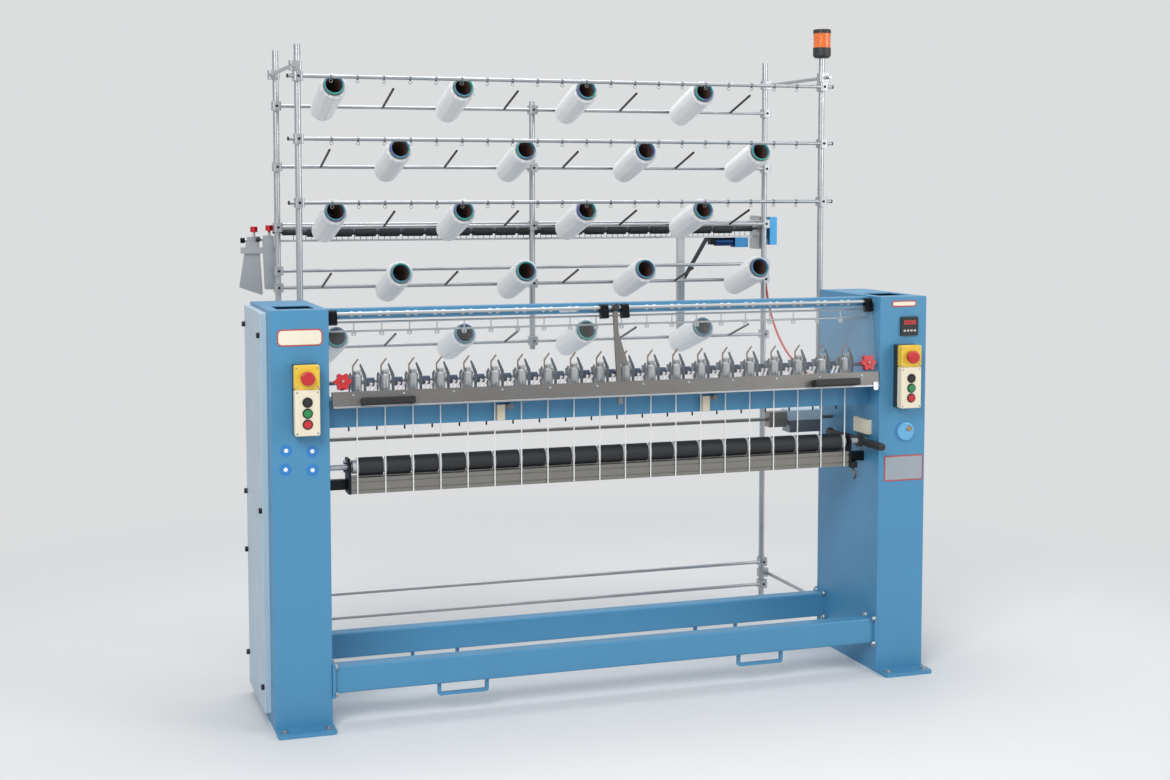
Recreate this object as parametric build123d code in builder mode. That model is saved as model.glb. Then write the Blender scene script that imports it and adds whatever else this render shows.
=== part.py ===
"""Twenty-head cord knitting machine: two cabinets, a line of circular heads, take-down and creel.

Units are millimetres. The machine stands on Z = 0, its front faces -Y and X runs along the heads.
"""

from build123d import *
import math
import os

os.makedirs("parts", exist_ok=True)

# Overall sizes
cabinet_gap = 1747.0
cabinet_width = 165.0
cabinet_depth = 425.0
cabinet_height = 1205.0
machine_depth = 1081.0
creel_height = 2000.0

# Heads and cones
head_count = 20
head_pitch = 82.5
cone_columns = 8

# Sheet, tube and bar stock
sheet = 3.0
foot_thickness = 12.0
post_diameter = 20.0
bar_diameter = 12.0
running_fit = 0.05
clearance = 0.3

# Reference planes worked out from the driving sizes
front_overhang = 3.0
front_plane = -machine_depth / 2 + front_overhang
cabinet_front = front_plane + 70
cabinet_rear = cabinet_front + cabinet_depth
inner_x = cabinet_gap / 2
outer_x = inner_x + cabinet_width
cabinet_x = inner_x + cabinet_width / 2
both_sides = (-1, 1)
head_xs = [(i - (head_count - 1) / 2) * head_pitch for i in range(head_count)]


def save(part, name):
    """Label one finished piece and write it to its own file."""
    part.label = name
    export_step(part, f"parts/{name}.step")


# Cabinets: sheet panels welded on a foot plate, open at the outer side behind a cover
cover_front = cabinet_front + 80
cover_rear = cabinet_rear - 2
cover_bottom = 32.0
cover_top = cabinet_height - 10
cover_stand = 18.0
cover_lip = 14.0
cover_bend = 2.0
slot_width = 108.0
slot_depth = 130.0
slot_front = cabinet_front + 62
bend_radius = 2.5
foot_corner = 6.0
cover_corner = 6.0
wall_hole_gap = 4.0

upper_beam_height = 30.0
upper_beam_depth = 46.0
upper_beam_front = cabinet_front + 68
upper_beam_top = cabinet_height - 4

head_y = cabinet_front + 60
shaft_y = head_y + 27
shaft_z = 985.0
shaft_diameter = 12.0
shaft_hub_diameter = 26.0

roller_z = 738.0
roller_diameter = 54.0
roller_setback = 3.0
roller_y = head_y + roller_diameter / 2 + roller_setback
roller_core = 40.0
roller_length = 2 * (inner_x - 78.5)
roller_journal = 16.0

lower_beam_height = 80.0
lower_beam_depth = 50.0
lower_beam_bottom = 95.0
front_beam_y = cabinet_front + 5 + lower_beam_depth / 2
rear_beam_y = cabinet_rear - 12 - lower_beam_depth / 2


def cabinet(side):
    """One cabinet: its foot plate, front, rear, inner, outer and top sheets, welded edge to edge."""
    x = side * cabinet_x
    wall_height = cabinet_height - foot_thickness
    wall_z = foot_thickness + wall_height / 2
    wall_depth = cabinet_depth - 2 * sheet
    wall_y = (cabinet_front + cabinet_rear) / 2
    opening_depth = cover_rear - cover_front - 2 * cover_lip
    opening_height = cover_top - cover_bottom - 2 * cover_lip
    with BuildPart() as foot:
        with BuildSketch(Plane.XY):
            with Locations((x, (front_plane + cabinet_rear) / 2)):
                Rectangle(cabinet_width, cabinet_rear - front_plane)
        extrude(amount=foot_thickness)
        chamfer(foot.edges().filter_by(Axis.Z).group_by(Axis.Y)[0], foot_corner)
    with BuildPart() as front_sheet:
        with Locations((x, cabinet_front + sheet / 2, wall_z)):
            Box(cabinet_width, sheet, wall_height)
        fillet(front_sheet.edges().filter_by(Axis.Z).group_by(Axis.Y)[0], bend_radius)
    with BuildPart() as rear_sheet:
        with Locations((x, cabinet_rear - sheet / 2, wall_z)):
            Box(cabinet_width, sheet, wall_height)
        fillet(rear_sheet.edges().filter_by(Axis.Z).group_by(Axis.Y)[-1], bend_radius)
    # Inner wall with the holes for the line shaft and the roller journal
    with BuildPart() as inner_sheet:
        with BuildSketch(Plane.YZ.offset(side * inner_x)):
            with Locations((wall_y, wall_z)):
                Rectangle(wall_depth, wall_height)
            with Locations((shaft_y, shaft_z)):
                Circle(shaft_hub_diameter / 2 + wall_hole_gap, mode=Mode.SUBTRACT)
            with Locations((roller_y, roller_z)):
                Circle(roller_journal / 2 + wall_hole_gap, mode=Mode.SUBTRACT)
        extrude(amount=side * sheet)
    # Outer wall with the service opening behind the side cover
    with BuildPart() as outer_sheet:
        with BuildSketch(Plane.YZ.offset(side * outer_x)):
            with Locations((wall_y, wall_z)):
                Rectangle(wall_depth, wall_height)
            with Locations(((cover_front + cover_rear) / 2, (cover_top + cover_bottom) / 2)):
                RectangleRounded(opening_depth, opening_height, cover_corner, mode=Mode.SUBTRACT)
        extrude(amount=-side * sheet)
    # Top sheet between the walls, with the yarn slot
    with BuildPart() as top_sheet:
        with BuildSketch(Plane.XY.offset(cabinet_height - sheet)):
            with Locations((x, wall_y)):
                Rectangle(cabinet_width - 2 * sheet, wall_depth)
            with Locations((x, slot_front + slot_depth / 2)):
                Rectangle(slot_width, slot_depth, mode=Mode.SUBTRACT)
        extrude(amount=sheet)
    sheets = (foot, front_sheet, rear_sheet, inner_sheet, outer_sheet, top_sheet)
    return Compound([solid for piece in sheets for solid in piece.part.solids()])


save(cabinet(-1), "left_cabinet")
save(cabinet(1), "right_cabinet")

# Side covers: shallow trays held by thumb screws over the service openings
with BuildPart() as side_covers:
    for side in both_sides:
        with BuildSketch(Plane.YZ.offset(side * outer_x)):
            with Locations(((cover_front + cover_rear) / 2, (cover_top + cover_bottom) / 2)):
                RectangleRounded(cover_rear - cover_front, cover_top - cover_bottom, cover_corner)
        extrude(amount=side * cover_stand)
        with Locations(
            (
                side * (outer_x + (cover_stand - sheet) / 2),
                (cover_front + cover_rear) / 2,
                (cover_top + cover_bottom) / 2,
            )
        ):
            Box(
                cover_stand - sheet,
                cover_rear - cover_front - 2 * sheet,
                cover_top - cover_bottom - 2 * sheet,
                mode=Mode.SUBTRACT,
            )
    outer_faces = side_covers.faces().filter_by(Axis.X).group_by(Axis.X)
    fillet([*outer_faces[0].edges(), *outer_faces[-1].edges()], cover_bend)
save(side_covers.part, "side_covers")

# Thumb screws on the outside of the covers
thumb_head = 16.0
thumb_length = 9.0
thumb_inset = 9.0
front_thumb_heights = (110.0, 625.0, 1130.0)
rear_thumb_heights = (129.0, 448.0, 628.0, 1138.0)
with BuildPart() as thumb_screws:
    for side in both_sides:
        for y, heights in (
            (cover_front + thumb_inset, front_thumb_heights),
            (cover_rear - thumb_inset, rear_thumb_heights),
        ):
            for z in heights:
                with Locations(
                    Plane((side * (outer_x + cover_stand), y, z), z_dir=(side, 0, 0))
                ):
                    Cylinder(
                        thumb_head / 2,
                        thumb_length,
                        align=(Align.CENTER, Align.CENTER, Align.MIN),
                    )
save(thumb_screws.part, "thumb_screws")

# Lower cross beams of folded channel with end plates and loops for lifting forks
beam_wall = 4.0
end_plate_depth = 70.0
end_plate_height = 100.0
end_plate_thickness = 8.0
fork_loop_x = 480.0
fork_loop_width = 155.0
fork_loop_drop = 41.0
fork_bar = 10.0
fork_corner = 9.0


loop_bottom = lower_beam_bottom - fork_loop_drop
with BuildPart() as lower_beams:
    for y in (front_beam_y, rear_beam_y):
        with BuildSketch(Plane.YZ.offset(-inner_x)):
            with Locations((y, lower_beam_bottom + lower_beam_height / 2)):
                RectangleRounded(lower_beam_depth, lower_beam_height, 6)
                Rectangle(
                    lower_beam_depth - 2 * beam_wall,
                    lower_beam_height - 2 * beam_wall,
                    mode=Mode.SUBTRACT,
                )
        extrude(amount=2 * inner_x)
        for side in both_sides:
            plate_x = side * (inner_x - end_plate_thickness / 2)
            with Locations((plate_x, y, lower_beam_bottom + lower_beam_height / 2)):
                Box(end_plate_thickness, end_plate_depth, end_plate_height)
            with BuildSketch(Plane.XZ.offset(-y - fork_bar / 2)) as fork_loop:
                with Locations((side * fork_loop_x, lower_beam_bottom - fork_loop_drop / 2)):
                    Rectangle(fork_loop_width, fork_loop_drop)
                fillet(fork_loop.vertices().group_by(Axis.Y)[0], fork_corner)
                with Locations(
                    (side * fork_loop_x, loop_bottom + fork_bar + (fork_loop_drop - fork_bar) / 2)
                ):
                    Rectangle(
                        fork_loop_width - 2 * fork_bar,
                        fork_loop_drop - fork_bar,
                        mode=Mode.SUBTRACT,
                    )
            extrude(amount=fork_bar)
save(lower_beams.part, "lower_beams")

# Knitting beam: the box under the heads, with a hole below each head for its cord
knit_beam_top = 930.0
knit_beam_bottom = 857.0
knit_beam_front = head_y + 14
knit_beam_depth = 70.0
head_shelf = 10.0
head_shelf_front = head_y - 18
cord_diameter = 4.0
cord_hole = 8.0
pin_diameter = 5.0
pin_drop = 12.0
pin_offset = -21.0
switch_xs = (head_xs[5] + 19.5, head_xs[13] + 18.0)
switch_size = (24.0, 14.0, 46.0)
switch_roller = 18.0
switch_arm = (30.0, 4.0, 12.0)
with BuildPart() as knitting_beam:
    with BuildSketch(Plane.YZ.offset(-inner_x)):
        with Locations(
            (knit_beam_front + knit_beam_depth / 2, (knit_beam_top + knit_beam_bottom) / 2)
        ):
            Rectangle(knit_beam_depth, knit_beam_top - knit_beam_bottom)
        with Locations(
            (
                (head_shelf_front + knit_beam_front + knit_beam_depth) / 2,
                knit_beam_top + head_shelf / 2,
            )
        ):
            Rectangle(knit_beam_front + knit_beam_depth - head_shelf_front, head_shelf)
        with Locations(
            (knit_beam_front + knit_beam_depth / 2, (knit_beam_top + knit_beam_bottom) / 2)
        ):
            Rectangle(
                knit_beam_depth - 2 * beam_wall,
                knit_beam_top - knit_beam_bottom - 2 * beam_wall,
                mode=Mode.SUBTRACT,
            )
    extrude(amount=2 * inner_x)
    with Locations([(x, head_y, knit_beam_top + head_shelf / 2) for x in head_xs]):
        Cylinder(cord_hole / 2, 2 * head_shelf, mode=Mode.SUBTRACT)
    # A cord pin below the beam beside each head
    with BuildSketch(Plane.XY.offset(knit_beam_bottom - pin_drop)):
        with Locations([(x + pin_offset, knit_beam_front + pin_diameter) for x in head_xs]):
            Circle(pin_diameter / 2)
    extrude(amount=pin_drop + beam_wall)
    # Two roller switches on the beam's front face that the closed guard presses
    switch_top = knit_beam_top - 24
    switch_z = switch_top - switch_size[2] / 2
    with Locations([(x, knit_beam_front - switch_size[1] / 2, switch_z) for x in switch_xs]):
        Box(*switch_size)
    arm_z = switch_top - switch_arm[2] / 2
    with Locations([(x + switch_arm[0] / 2, knit_beam_front - switch_size[1] / 2, arm_z) for x in switch_xs]):
        Box(*switch_arm)
    with BuildSketch(Plane.XZ.offset(-knit_beam_front)):
        with Locations([(x + switch_arm[0], arm_z) for x in switch_xs]):
            Circle(switch_roller / 2)
    extrude(amount=switch_size[1])
save(knitting_beam.part, "knitting_beam")


# Upper beam with yarn eyelets in pairs, one pair for each head
eyelet_radius = 5.0
eyelet_length = 5.0
eyelet_spread = 12.0
with BuildPart() as upper_beam:
    with BuildSketch(Plane.YZ.offset(-inner_x)):
        with Locations(
            (upper_beam_front + upper_beam_depth / 2, upper_beam_top - upper_beam_height / 2)
        ):
            Rectangle(upper_beam_depth, upper_beam_height)
            Rectangle(
                upper_beam_depth - 2 * beam_wall,
                upper_beam_height - 2 * beam_wall,
                mode=Mode.SUBTRACT,
            )
    extrude(amount=2 * inner_x)
save(upper_beam.part, "upper_beam")

eyelet_xs = [x + offset_x for x in head_xs for offset_x in (-eyelet_spread, eyelet_spread)]
eyelet_z = upper_beam_top - upper_beam_height / 2
low_eyelet_spread = 7.0
low_eyelet_height = 22.0
low_eyelet_xs = [
    x + head_pitch / 2 + offset_x
    for x in head_xs[:-1]
    for offset_x in (-low_eyelet_spread, low_eyelet_spread)
]
with BuildPart() as ceramic_eyelets:
    with BuildSketch(Plane.XZ.offset(-upper_beam_front)):
        with Locations([(x, eyelet_z) for x in eyelet_xs]):
            Circle(eyelet_radius)
            Circle(eyelet_radius / 2, mode=Mode.SUBTRACT)
    extrude(amount=eyelet_length)
    with BuildSketch(Plane.XY.offset(knit_beam_top + head_shelf)):
        with Locations([(x, head_y - 2) for x in low_eyelet_xs]):
            Circle(eyelet_radius)
    extrude(amount=low_eyelet_height)
save(ceramic_eyelets.part, "ceramic_eyelets")

# Knitting heads: a round housing with a gearbox behind it that the line shaft passes through
head_base = knit_beam_top + head_shelf
head_top = 1010.0
head_flange_diameter = 35.0
head_flange = 6.0
head_diameter = 32.0
head_collar = 8.0
head_chamfer = 2.5
rotor_diameter = 17.0
rotor_bore = 10.0
rotor_bottom = head_base + 12
rotor_top = head_top + 10
gearbox_width = 30.0
gearbox_depth = 34.0
gearbox_bottom = shaft_z - 20
gearbox_top = shaft_z + 20
rotor_seat = rotor_diameter / 2 + running_fit

# One turned housing: a flange, a body with a raised collar, and a stepped bore for rotor and cord
with BuildPart(mode=Mode.PRIVATE) as housing:
    with BuildSketch(Plane.XZ):
        with BuildLine():
            Polyline(
                (cord_hole / 2, head_base),
                (head_flange_diameter / 2, head_base),
                (head_flange_diameter / 2, head_base + head_flange),
                (head_diameter / 2 - head_chamfer / 2, head_base + head_flange),
                (head_diameter / 2 - head_chamfer / 2, head_top - head_collar),
                (head_diameter / 2, head_top - head_collar),
                (head_diameter / 2, head_top - head_chamfer),
                (head_diameter / 2 - head_chamfer, head_top),
                (rotor_seat, head_top),
                (rotor_seat, rotor_bottom),
                (cord_hole / 2, rotor_bottom),
                close=True,
            )
        make_face()
    revolve(axis=Axis.Z)
with BuildPart() as knitting_heads:
    with Locations([(x, head_y, 0) for x in head_xs]):
        add(housing.part)
    # Gearbox behind each housing on a foot that stands on the shelf
    with BuildSketch(Plane.XZ.offset(-shaft_y - gearbox_depth / 2)):
        with Locations([(x, (gearbox_bottom + gearbox_top) / 2) for x in head_xs]):
            Rectangle(gearbox_width, gearbox_top - gearbox_bottom)
        with Locations([(x, (head_base + gearbox_bottom) / 2) for x in head_xs]):
            Rectangle(gearbox_width / 2, gearbox_bottom - head_base)
    extrude(amount=gearbox_depth)
    with Locations([(x, head_y, (rotor_bottom + head_top) / 2) for x in head_xs]):
        Cylinder(rotor_seat, head_top - rotor_bottom, mode=Mode.SUBTRACT)
    with BuildSketch(Plane.YZ.offset(-inner_x)):
        with Locations((shaft_y, shaft_z)):
            Circle(shaft_diameter / 2 + running_fit)
    extrude(amount=2 * inner_x, mode=Mode.SUBTRACT)
save(knitting_heads.part, "knitting_heads")

# Needle rotors, one in each head: a sleeve with a slot for every needle in its mouth
needle_slots = 8
slot_gap = 1.6
slot_drop = 7.0
for index, x in enumerate(head_xs):
    with BuildPart() as head_rotor:
        with BuildSketch(Plane.XY.offset(rotor_bottom + clearance)):
            with Locations((x, head_y)):
                Circle(rotor_diameter / 2)
                Circle(rotor_bore / 2, mode=Mode.SUBTRACT)
        extrude(amount=rotor_top - rotor_bottom - clearance)
        with BuildSketch(Plane.XY.offset(rotor_top)):
            with Locations((x, head_y)):
                with PolarLocations(rotor_diameter / 2, needle_slots):
                    Rectangle(rotor_diameter - rotor_bore + 2 * slot_gap, slot_gap)
        extrude(amount=-slot_drop, mode=Mode.SUBTRACT)
    save(head_rotor.part, f"head_rotor_{index + 1:02d}")

# Line shaft with a coupling in each gap between heads
coupling_length = 30.0
shaft_end = inner_x + 60
with BuildPart() as line_shaft:
    with BuildSketch(Plane.YZ.offset(-shaft_end)):
        with Locations((shaft_y, shaft_z)):
            Circle(shaft_diameter / 2)
    extrude(amount=2 * shaft_end)
    with Locations([(x + head_pitch / 2, shaft_y, shaft_z) for x in head_xs[:-1]]):
        Cylinder(shaft_hub_diameter / 2, coupling_length, rotation=(0, 90, 0))
save(line_shaft.part, "line_shaft")

# Yarn fingers: a bent hook on each housing, a thin post at its left and a bracket at its right
hook_thickness = 4.0
hook_foot = (-13.0, -9.5)
hook_knee = head_top + 24
hook_tip = head_top + 47
post_left = -24.0
post_width = 4.0
post_height = head_top + 4
bracket_left = 20.0
bracket_width = 8.0
bracket_height = head_top - 2
bracket_tip = head_top + 32
with BuildPart() as yarn_fingers:
    for x in head_xs:
        with BuildSketch(Plane.XZ.offset(-head_y - hook_thickness / 2)):
            with BuildLine():
                Polyline(
                    (x + hook_foot[0], head_top),
                    (x + hook_foot[1], head_top),
                    (x + hook_foot[1], hook_knee),
                    (x + 6, hook_tip - 2),
                    (x + 3, hook_tip),
                    (x + hook_foot[0], hook_knee + 3),
                    close=True,
                )
            make_face()
            with BuildLine():
                Polyline(
                    (x + bracket_left, head_base),
                    (x + bracket_left + bracket_width, head_base),
                    (x + bracket_left + bracket_width, bracket_height),
                    (x + bracket_left - 8, bracket_tip),
                    (x + bracket_left - 12, bracket_tip - 3),
                    (x + bracket_left, bracket_height - 8),
                    close=True,
                )
            make_face()
            with BuildLine():
                Polyline(
                    (x + post_left, head_base),
                    (x + post_left + post_width, head_base),
                    (x + post_left + post_width, post_height - 10),
                    (x + post_left + 2 * post_width, post_height),
                    (x + post_left + post_width, post_height + 3),
                    (x + post_left, post_height - 6),
                    close=True,
                )
            make_face()
        extrude(amount=hook_thickness)
save(yarn_fingers.part, "yarn_fingers")

# Cross rods: the guard's hinge rod, and two stop-motion rods with a drop eyelet for each head
hinge_y = cabinet_front + 50
hinge_z = 1188.0
hinge_rod = 10.0
stop_rod = 6.0
stop_rod_y = upper_beam_front + 30
stop_rod_heights = (1134.0, 1160.0)
eyelet_plate = 14.0
with BuildPart() as cross_rods:
    with BuildSketch(Plane.YZ.offset(-inner_x)):
        with Locations((hinge_y, hinge_z)):
            Circle(hinge_rod / 2)
    extrude(amount=2 * inner_x)
    for z in stop_rod_heights:
        with BuildSketch(Plane.YZ.offset(-inner_x)):
            with Locations((stop_rod_y, z)):
                Circle(stop_rod / 2)
        extrude(amount=2 * inner_x)
    with Locations([(x, stop_rod_y, sum(stop_rod_heights) / 2) for x in head_xs]):
        Box(3, stop_rod / 2, stop_rod_heights[1] - stop_rod_heights[0])
    with BuildSketch(Plane.XZ.offset(-stop_rod_y - stop_rod / 4)):
        with Locations([(x, stop_rod_heights[0] - stop_rod / 2 - 4) for x in head_xs]):
            RectangleRounded(eyelet_plate, eyelet_plate, 4)
        with Locations([(x, stop_rod_heights[0] - stop_rod / 2 - 6) for x in head_xs]):
            Circle(eyelet_plate / 5, mode=Mode.SUBTRACT)
    extrude(amount=stop_rod / 2)
save(cross_rods.part, "cross_rods")

# Take-down roller: rubber sleeves on a steel core, with journals into the cabinets
sleeve_gap = 9.0
with BuildPart() as take_down_roller:
    with BuildSketch(Plane.YZ.offset(-roller_length / 2)):
        with Locations((roller_y, roller_z)):
            Circle(roller_core / 2)
    extrude(amount=roller_length)
    with Locations([(x + head_pitch / 2, roller_y, roller_z) for x in head_xs[:-1]]):
        Cylinder(roller_diameter / 2, head_pitch - sleeve_gap, rotation=(0, 90, 0))
    with BuildSketch(Plane.YZ.offset(-inner_x - 40)):
        with Locations((roller_y, roller_z)):
            Circle(roller_journal / 2)
    extrude(amount=2 * inner_x + 80)
save(take_down_roller.part, "take_down_roller")

# Take-down table: the profile under the roller with an end bracket on each side
table_top = roller_z - roller_diameter / 2 - 2
table_height = 47.0
table_front = head_y + 3
table_depth = 56.0
table_half = inner_x - 71.5
bracket_thickness = 8.0
bracket_reach = inner_x - table_half
with BuildPart() as take_down_table:
    with BuildSketch(Plane.YZ.offset(-table_half)):
        with Locations((table_front + table_depth / 2, table_top - table_height / 2)):
            Rectangle(table_depth, table_height)
            Rectangle(table_depth - 8, table_height - 8, mode=Mode.SUBTRACT)
        with Locations((table_front + 1.5, table_top - 12)):
            Rectangle(3, 4, mode=Mode.SUBTRACT)
        with Locations((table_front + 1.5, table_top - table_height + 12)):
            Rectangle(3, 4, mode=Mode.SUBTRACT)
    extrude(amount=2 * table_half)
# Brackets at its ends with bearing holes, and the bar behind, reach the cabinet walls
cross_bar_y = cabinet_front + 325
cross_bar_z = 785.0
tensioner_x = inner_x - 113.5
tensioner_body = (112.0, 56.0, 60.0)
tensioner_cover = (118.0, 62.0, 34.0)
tensioner_block = (60.0, 40.0, 50.0)
with BuildPart() as roller_brackets:
    for side in both_sides:
        with BuildSketch(Plane.YZ.offset(side * table_half)):
            with BuildLine():
                Polyline(
                    (table_front - 2, table_top - table_height),
                    (table_front + table_depth, table_top - table_height),
                    (table_front + table_depth, roller_z + 26),
                    (roller_y - 14, roller_z + 26),
                    (table_front - 2, roller_z + 4),
                    close=True,
                )
            make_face()
            with Locations((roller_y, roller_z)):
                Circle(roller_journal / 2 + running_fit, mode=Mode.SUBTRACT)
        extrude(amount=side * bracket_thickness)
        # Arm that carries the bracket on the cabinet wall
        with Locations(
            (
                side * (table_half + bracket_thickness + (bracket_reach - bracket_thickness) / 2),
                table_front + table_depth - 12,
                table_top - table_height / 2,
            )
        ):
            Box(bracket_reach - bracket_thickness, 20, 30)
    with BuildSketch(Plane.YZ.offset(-inner_x)):
        with Locations((cross_bar_y, cross_bar_z)):
            Circle(bar_diameter / 2)
    extrude(amount=2 * inner_x)
    # Tensioner of the take-down drive, clamped on the cross bar at the right
    with Locations((tensioner_x, cross_bar_y, cross_bar_z - 14)):
        Box(*tensioner_body)
    with Locations((tensioner_x, cross_bar_y, cross_bar_z + 14)):
        Box(*tensioner_cover)
    with Locations((tensioner_x - 0.85 * tensioner_body[0], cross_bar_y, cross_bar_z)):
        Box(*tensioner_block)
    fillet(roller_brackets.faces().sort_by(Axis.Z)[-1].edges(), 4)
save(Compound([*take_down_table.part.solids(), *roller_brackets.part.solids()]), "take_down_frame")

# Release lever on the right journal: a forged arm with a grip at the front
lever_x = inner_x - 22.5
lever_front = front_plane + 2
lever_rear = cross_bar_y - 30
lever_thickness = 14.0
lever_height = 24.0
lever_tip = 14.0
lever_hub = 40.0
grip_diameter = 24.0
grip_length = 110.0
with BuildPart() as roller_lever:
    with BuildSketch(Plane.YZ.offset(lever_x - lever_thickness / 2)):
        with BuildLine():
            Polyline(
                (lever_front + grip_length / 2, roller_z - lever_tip / 2),
                (roller_y, roller_z - lever_height / 2),
                (lever_rear, roller_z - lever_tip / 2),
                (lever_rear, roller_z + lever_tip / 2),
                (roller_y, roller_z + lever_height / 2),
                (lever_front + grip_length / 2, roller_z + lever_tip / 2),
                close=True,
            )
        make_face()
        with Locations((lever_rear, roller_z)):
            Circle(lever_tip)
        with Locations((roller_y, roller_z)):
            Circle(lever_hub / 2)
            Circle(roller_journal / 2 + running_fit, mode=Mode.SUBTRACT)
    extrude(amount=lever_thickness)
    with BuildSketch(Plane.XZ.offset(-lever_front - grip_length)):
        with Locations((lever_x, roller_z)):
            Circle(grip_diameter / 2)
    extrude(amount=grip_length)
    fillet(roller_lever.faces().sort_by(Axis.Y)[0].edges(), 4)
save(roller_lever.part, "roller_lever")

# Cords: one from each head, straight down before the roller to the table's lower edge
cord_y = roller_y - roller_diameter / 2 - clearance - cord_diameter / 2
cord_end_z = table_top - table_height
with BuildPart() as knitted_cords:
    with BuildSketch(Plane.XY.offset(cord_end_z)):
        with Locations([(x, cord_y) for x in head_xs]):
            Circle(cord_diameter / 2)
    extrude(amount=head_base - cord_end_z)
save(knitted_cords.part, "knitted_cords")

# Guard: a clear pane hung from a rod, with a bottom rail, a centre arm, clips and bow handles
guard_tilt = 10.0
guard_half = inner_x - 7
pane_thickness = 5.0
pane_top = 12.0
rail_top = 224.0
rail_height = 47.0
rail_thickness = 14.0
clip_width = 24.0
clip_drop = 32.0
clip_depth = 22.0
clip_xs = (-guard_half + clip_width / 2, -33.0, 33.0, guard_half - clip_width / 2)
arm_width = 14.0
arm_length = 292.0
lean = math.radians(guard_tilt)
guard_plane = Plane(
    (0, hinge_y, hinge_z),
    x_dir=(1, 0, 0),
    z_dir=(0, -math.cos(lean), math.sin(lean)),
)
rail_back = pane_thickness / 2
with BuildPart() as guard_pane:
    with BuildSketch(guard_plane.offset(-pane_thickness / 2)):
        with Locations((0, -(pane_top + rail_top + rail_height / 2) / 2)):
            Rectangle(2 * guard_half, rail_top + rail_height / 2 - pane_top)
    extrude(amount=pane_thickness)
    knob_distance = 195.0
    knob_x = guard_half - 31.5
    knob_stud = 10.0
    with BuildSketch(guard_plane.offset(-pane_thickness)):
        with Locations([(side * knob_x, -knob_distance) for side in both_sides]):
            Circle(knob_stud / 2 + clearance)
    extrude(amount=2 * pane_thickness, mode=Mode.SUBTRACT)
save(guard_pane.part, "guard_pane")

gusset_top = 52.0
gusset_bottom = 172.0
gusset_width = 24.0
arm_knob = 20.0
with BuildPart() as guard_frame:
    with BuildSketch(guard_plane.offset(rail_back)):
        with Locations((0, -rail_top - rail_height / 2)):
            Rectangle(2 * guard_half, rail_height)
    extrude(amount=rail_thickness)
    with BuildSketch(guard_plane.offset(rail_back)):
        with Locations((0, -arm_length / 2)):
            Rectangle(arm_width, arm_length)
        with BuildLine():
            Polyline(
                (0, -gusset_top),
                (arm_width / 2 + gusset_width, -gusset_bottom),
                (0, -gusset_bottom),
                close=True,
            )
        make_face()
    extrude(amount=8)
    # Clips that curve round the hinge rod and pinch the top of the pane, and the arm's own eye
    for x, width, drop in (*((x, clip_width, clip_drop) for x in clip_xs), (0, arm_width, arm_width)):
        clip_plane = Plane(
            (x - width / 2, hinge_y, hinge_z), x_dir=guard_plane.z_dir, z_dir=(1, 0, 0)
        )
        with BuildSketch(clip_plane):
            Circle(clip_depth / 2)
            with Locations((0, drop / 2)):
                Rectangle(clip_depth, drop)
        extrude(amount=width)
    with BuildSketch(guard_plane.offset(clip_depth / 2)):
        with Locations((0, 0)):
            Circle(arm_knob / 2)
    extrude(amount=10)
    with BuildSketch(guard_plane.offset(-pane_thickness / 2)):
        with Locations((0, -(pane_top + rail_top) / 2)):
            Rectangle(2 * guard_half, rail_top - pane_top)
    extrude(amount=pane_thickness, mode=Mode.SUBTRACT)
    with BuildSketch(Plane.YZ.offset(-inner_x)):
        with Locations((hinge_y, hinge_z)):
            Circle(hinge_rod / 2 + running_fit)
    extrude(amount=2 * inner_x, mode=Mode.SUBTRACT)
save(guard_frame.part, "guard_frame")

handle_inner = guard_half - 234.5
handle_length = 155.0
handle_height = 22.0
handle_reach = 32.0
handle_bar = 11.0
handle_edge = 4.0
handle_centres = [(side * (handle_inner + handle_length / 2), -rail_top - 30) for side in both_sides]
with BuildPart() as guard_handles:
    with BuildSketch(guard_plane.offset(rail_back + rail_thickness)):
        with Locations(handle_centres):
            RectangleRounded(handle_length, handle_height, 6)
    extrude(amount=handle_reach)
    with BuildSketch(guard_plane.offset(rail_back + rail_thickness)):
        with Locations(handle_centres):
            Rectangle(handle_length - 2 * handle_bar, 2 * handle_height)
    extrude(amount=handle_reach - handle_bar, mode=Mode.SUBTRACT)
    outward = Axis(guard_plane.origin, guard_plane.z_dir)
    fillet(guard_handles.faces().group_by(outward)[-1].edges(), handle_edge)
save(guard_handles.part, "guard_handles")

# Star knobs that lock the guard: lobed head outside, stud through the pane, latch tongue behind
knob_lobes = 6
knob_core = 19.0
knob_lobe = 6.5
knob_thickness = 16.0
latch_length = 30.0
latch_width = 12.0
latch_thickness = 5.0
for side, name in ((-1, "left_guard_knob"), (1, "right_guard_knob")):
    knob_front = guard_plane.offset(rail_back + clearance)
    knob_back = guard_plane.offset(-rail_back - clearance)
    with BuildPart() as guard_knob:
        with BuildSketch(knob_front):
            with Locations((side * knob_x, -knob_distance)):
                Circle(knob_core)
                with PolarLocations(knob_core, knob_lobes):
                    Circle(knob_lobe)
        extrude(amount=knob_thickness)
        with BuildSketch(knob_back):
            with Locations((side * knob_x, -knob_distance)):
                Circle(knob_stud / 2)
        extrude(amount=2 * (rail_back + clearance))
        with BuildSketch(knob_back):
            with Locations((side * knob_x, -knob_distance - latch_length / 2 + latch_width / 2)):
                RectangleRounded(latch_width, latch_length, 4)
        extrude(amount=-latch_thickness)
    save(guard_knob.part, name)

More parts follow.
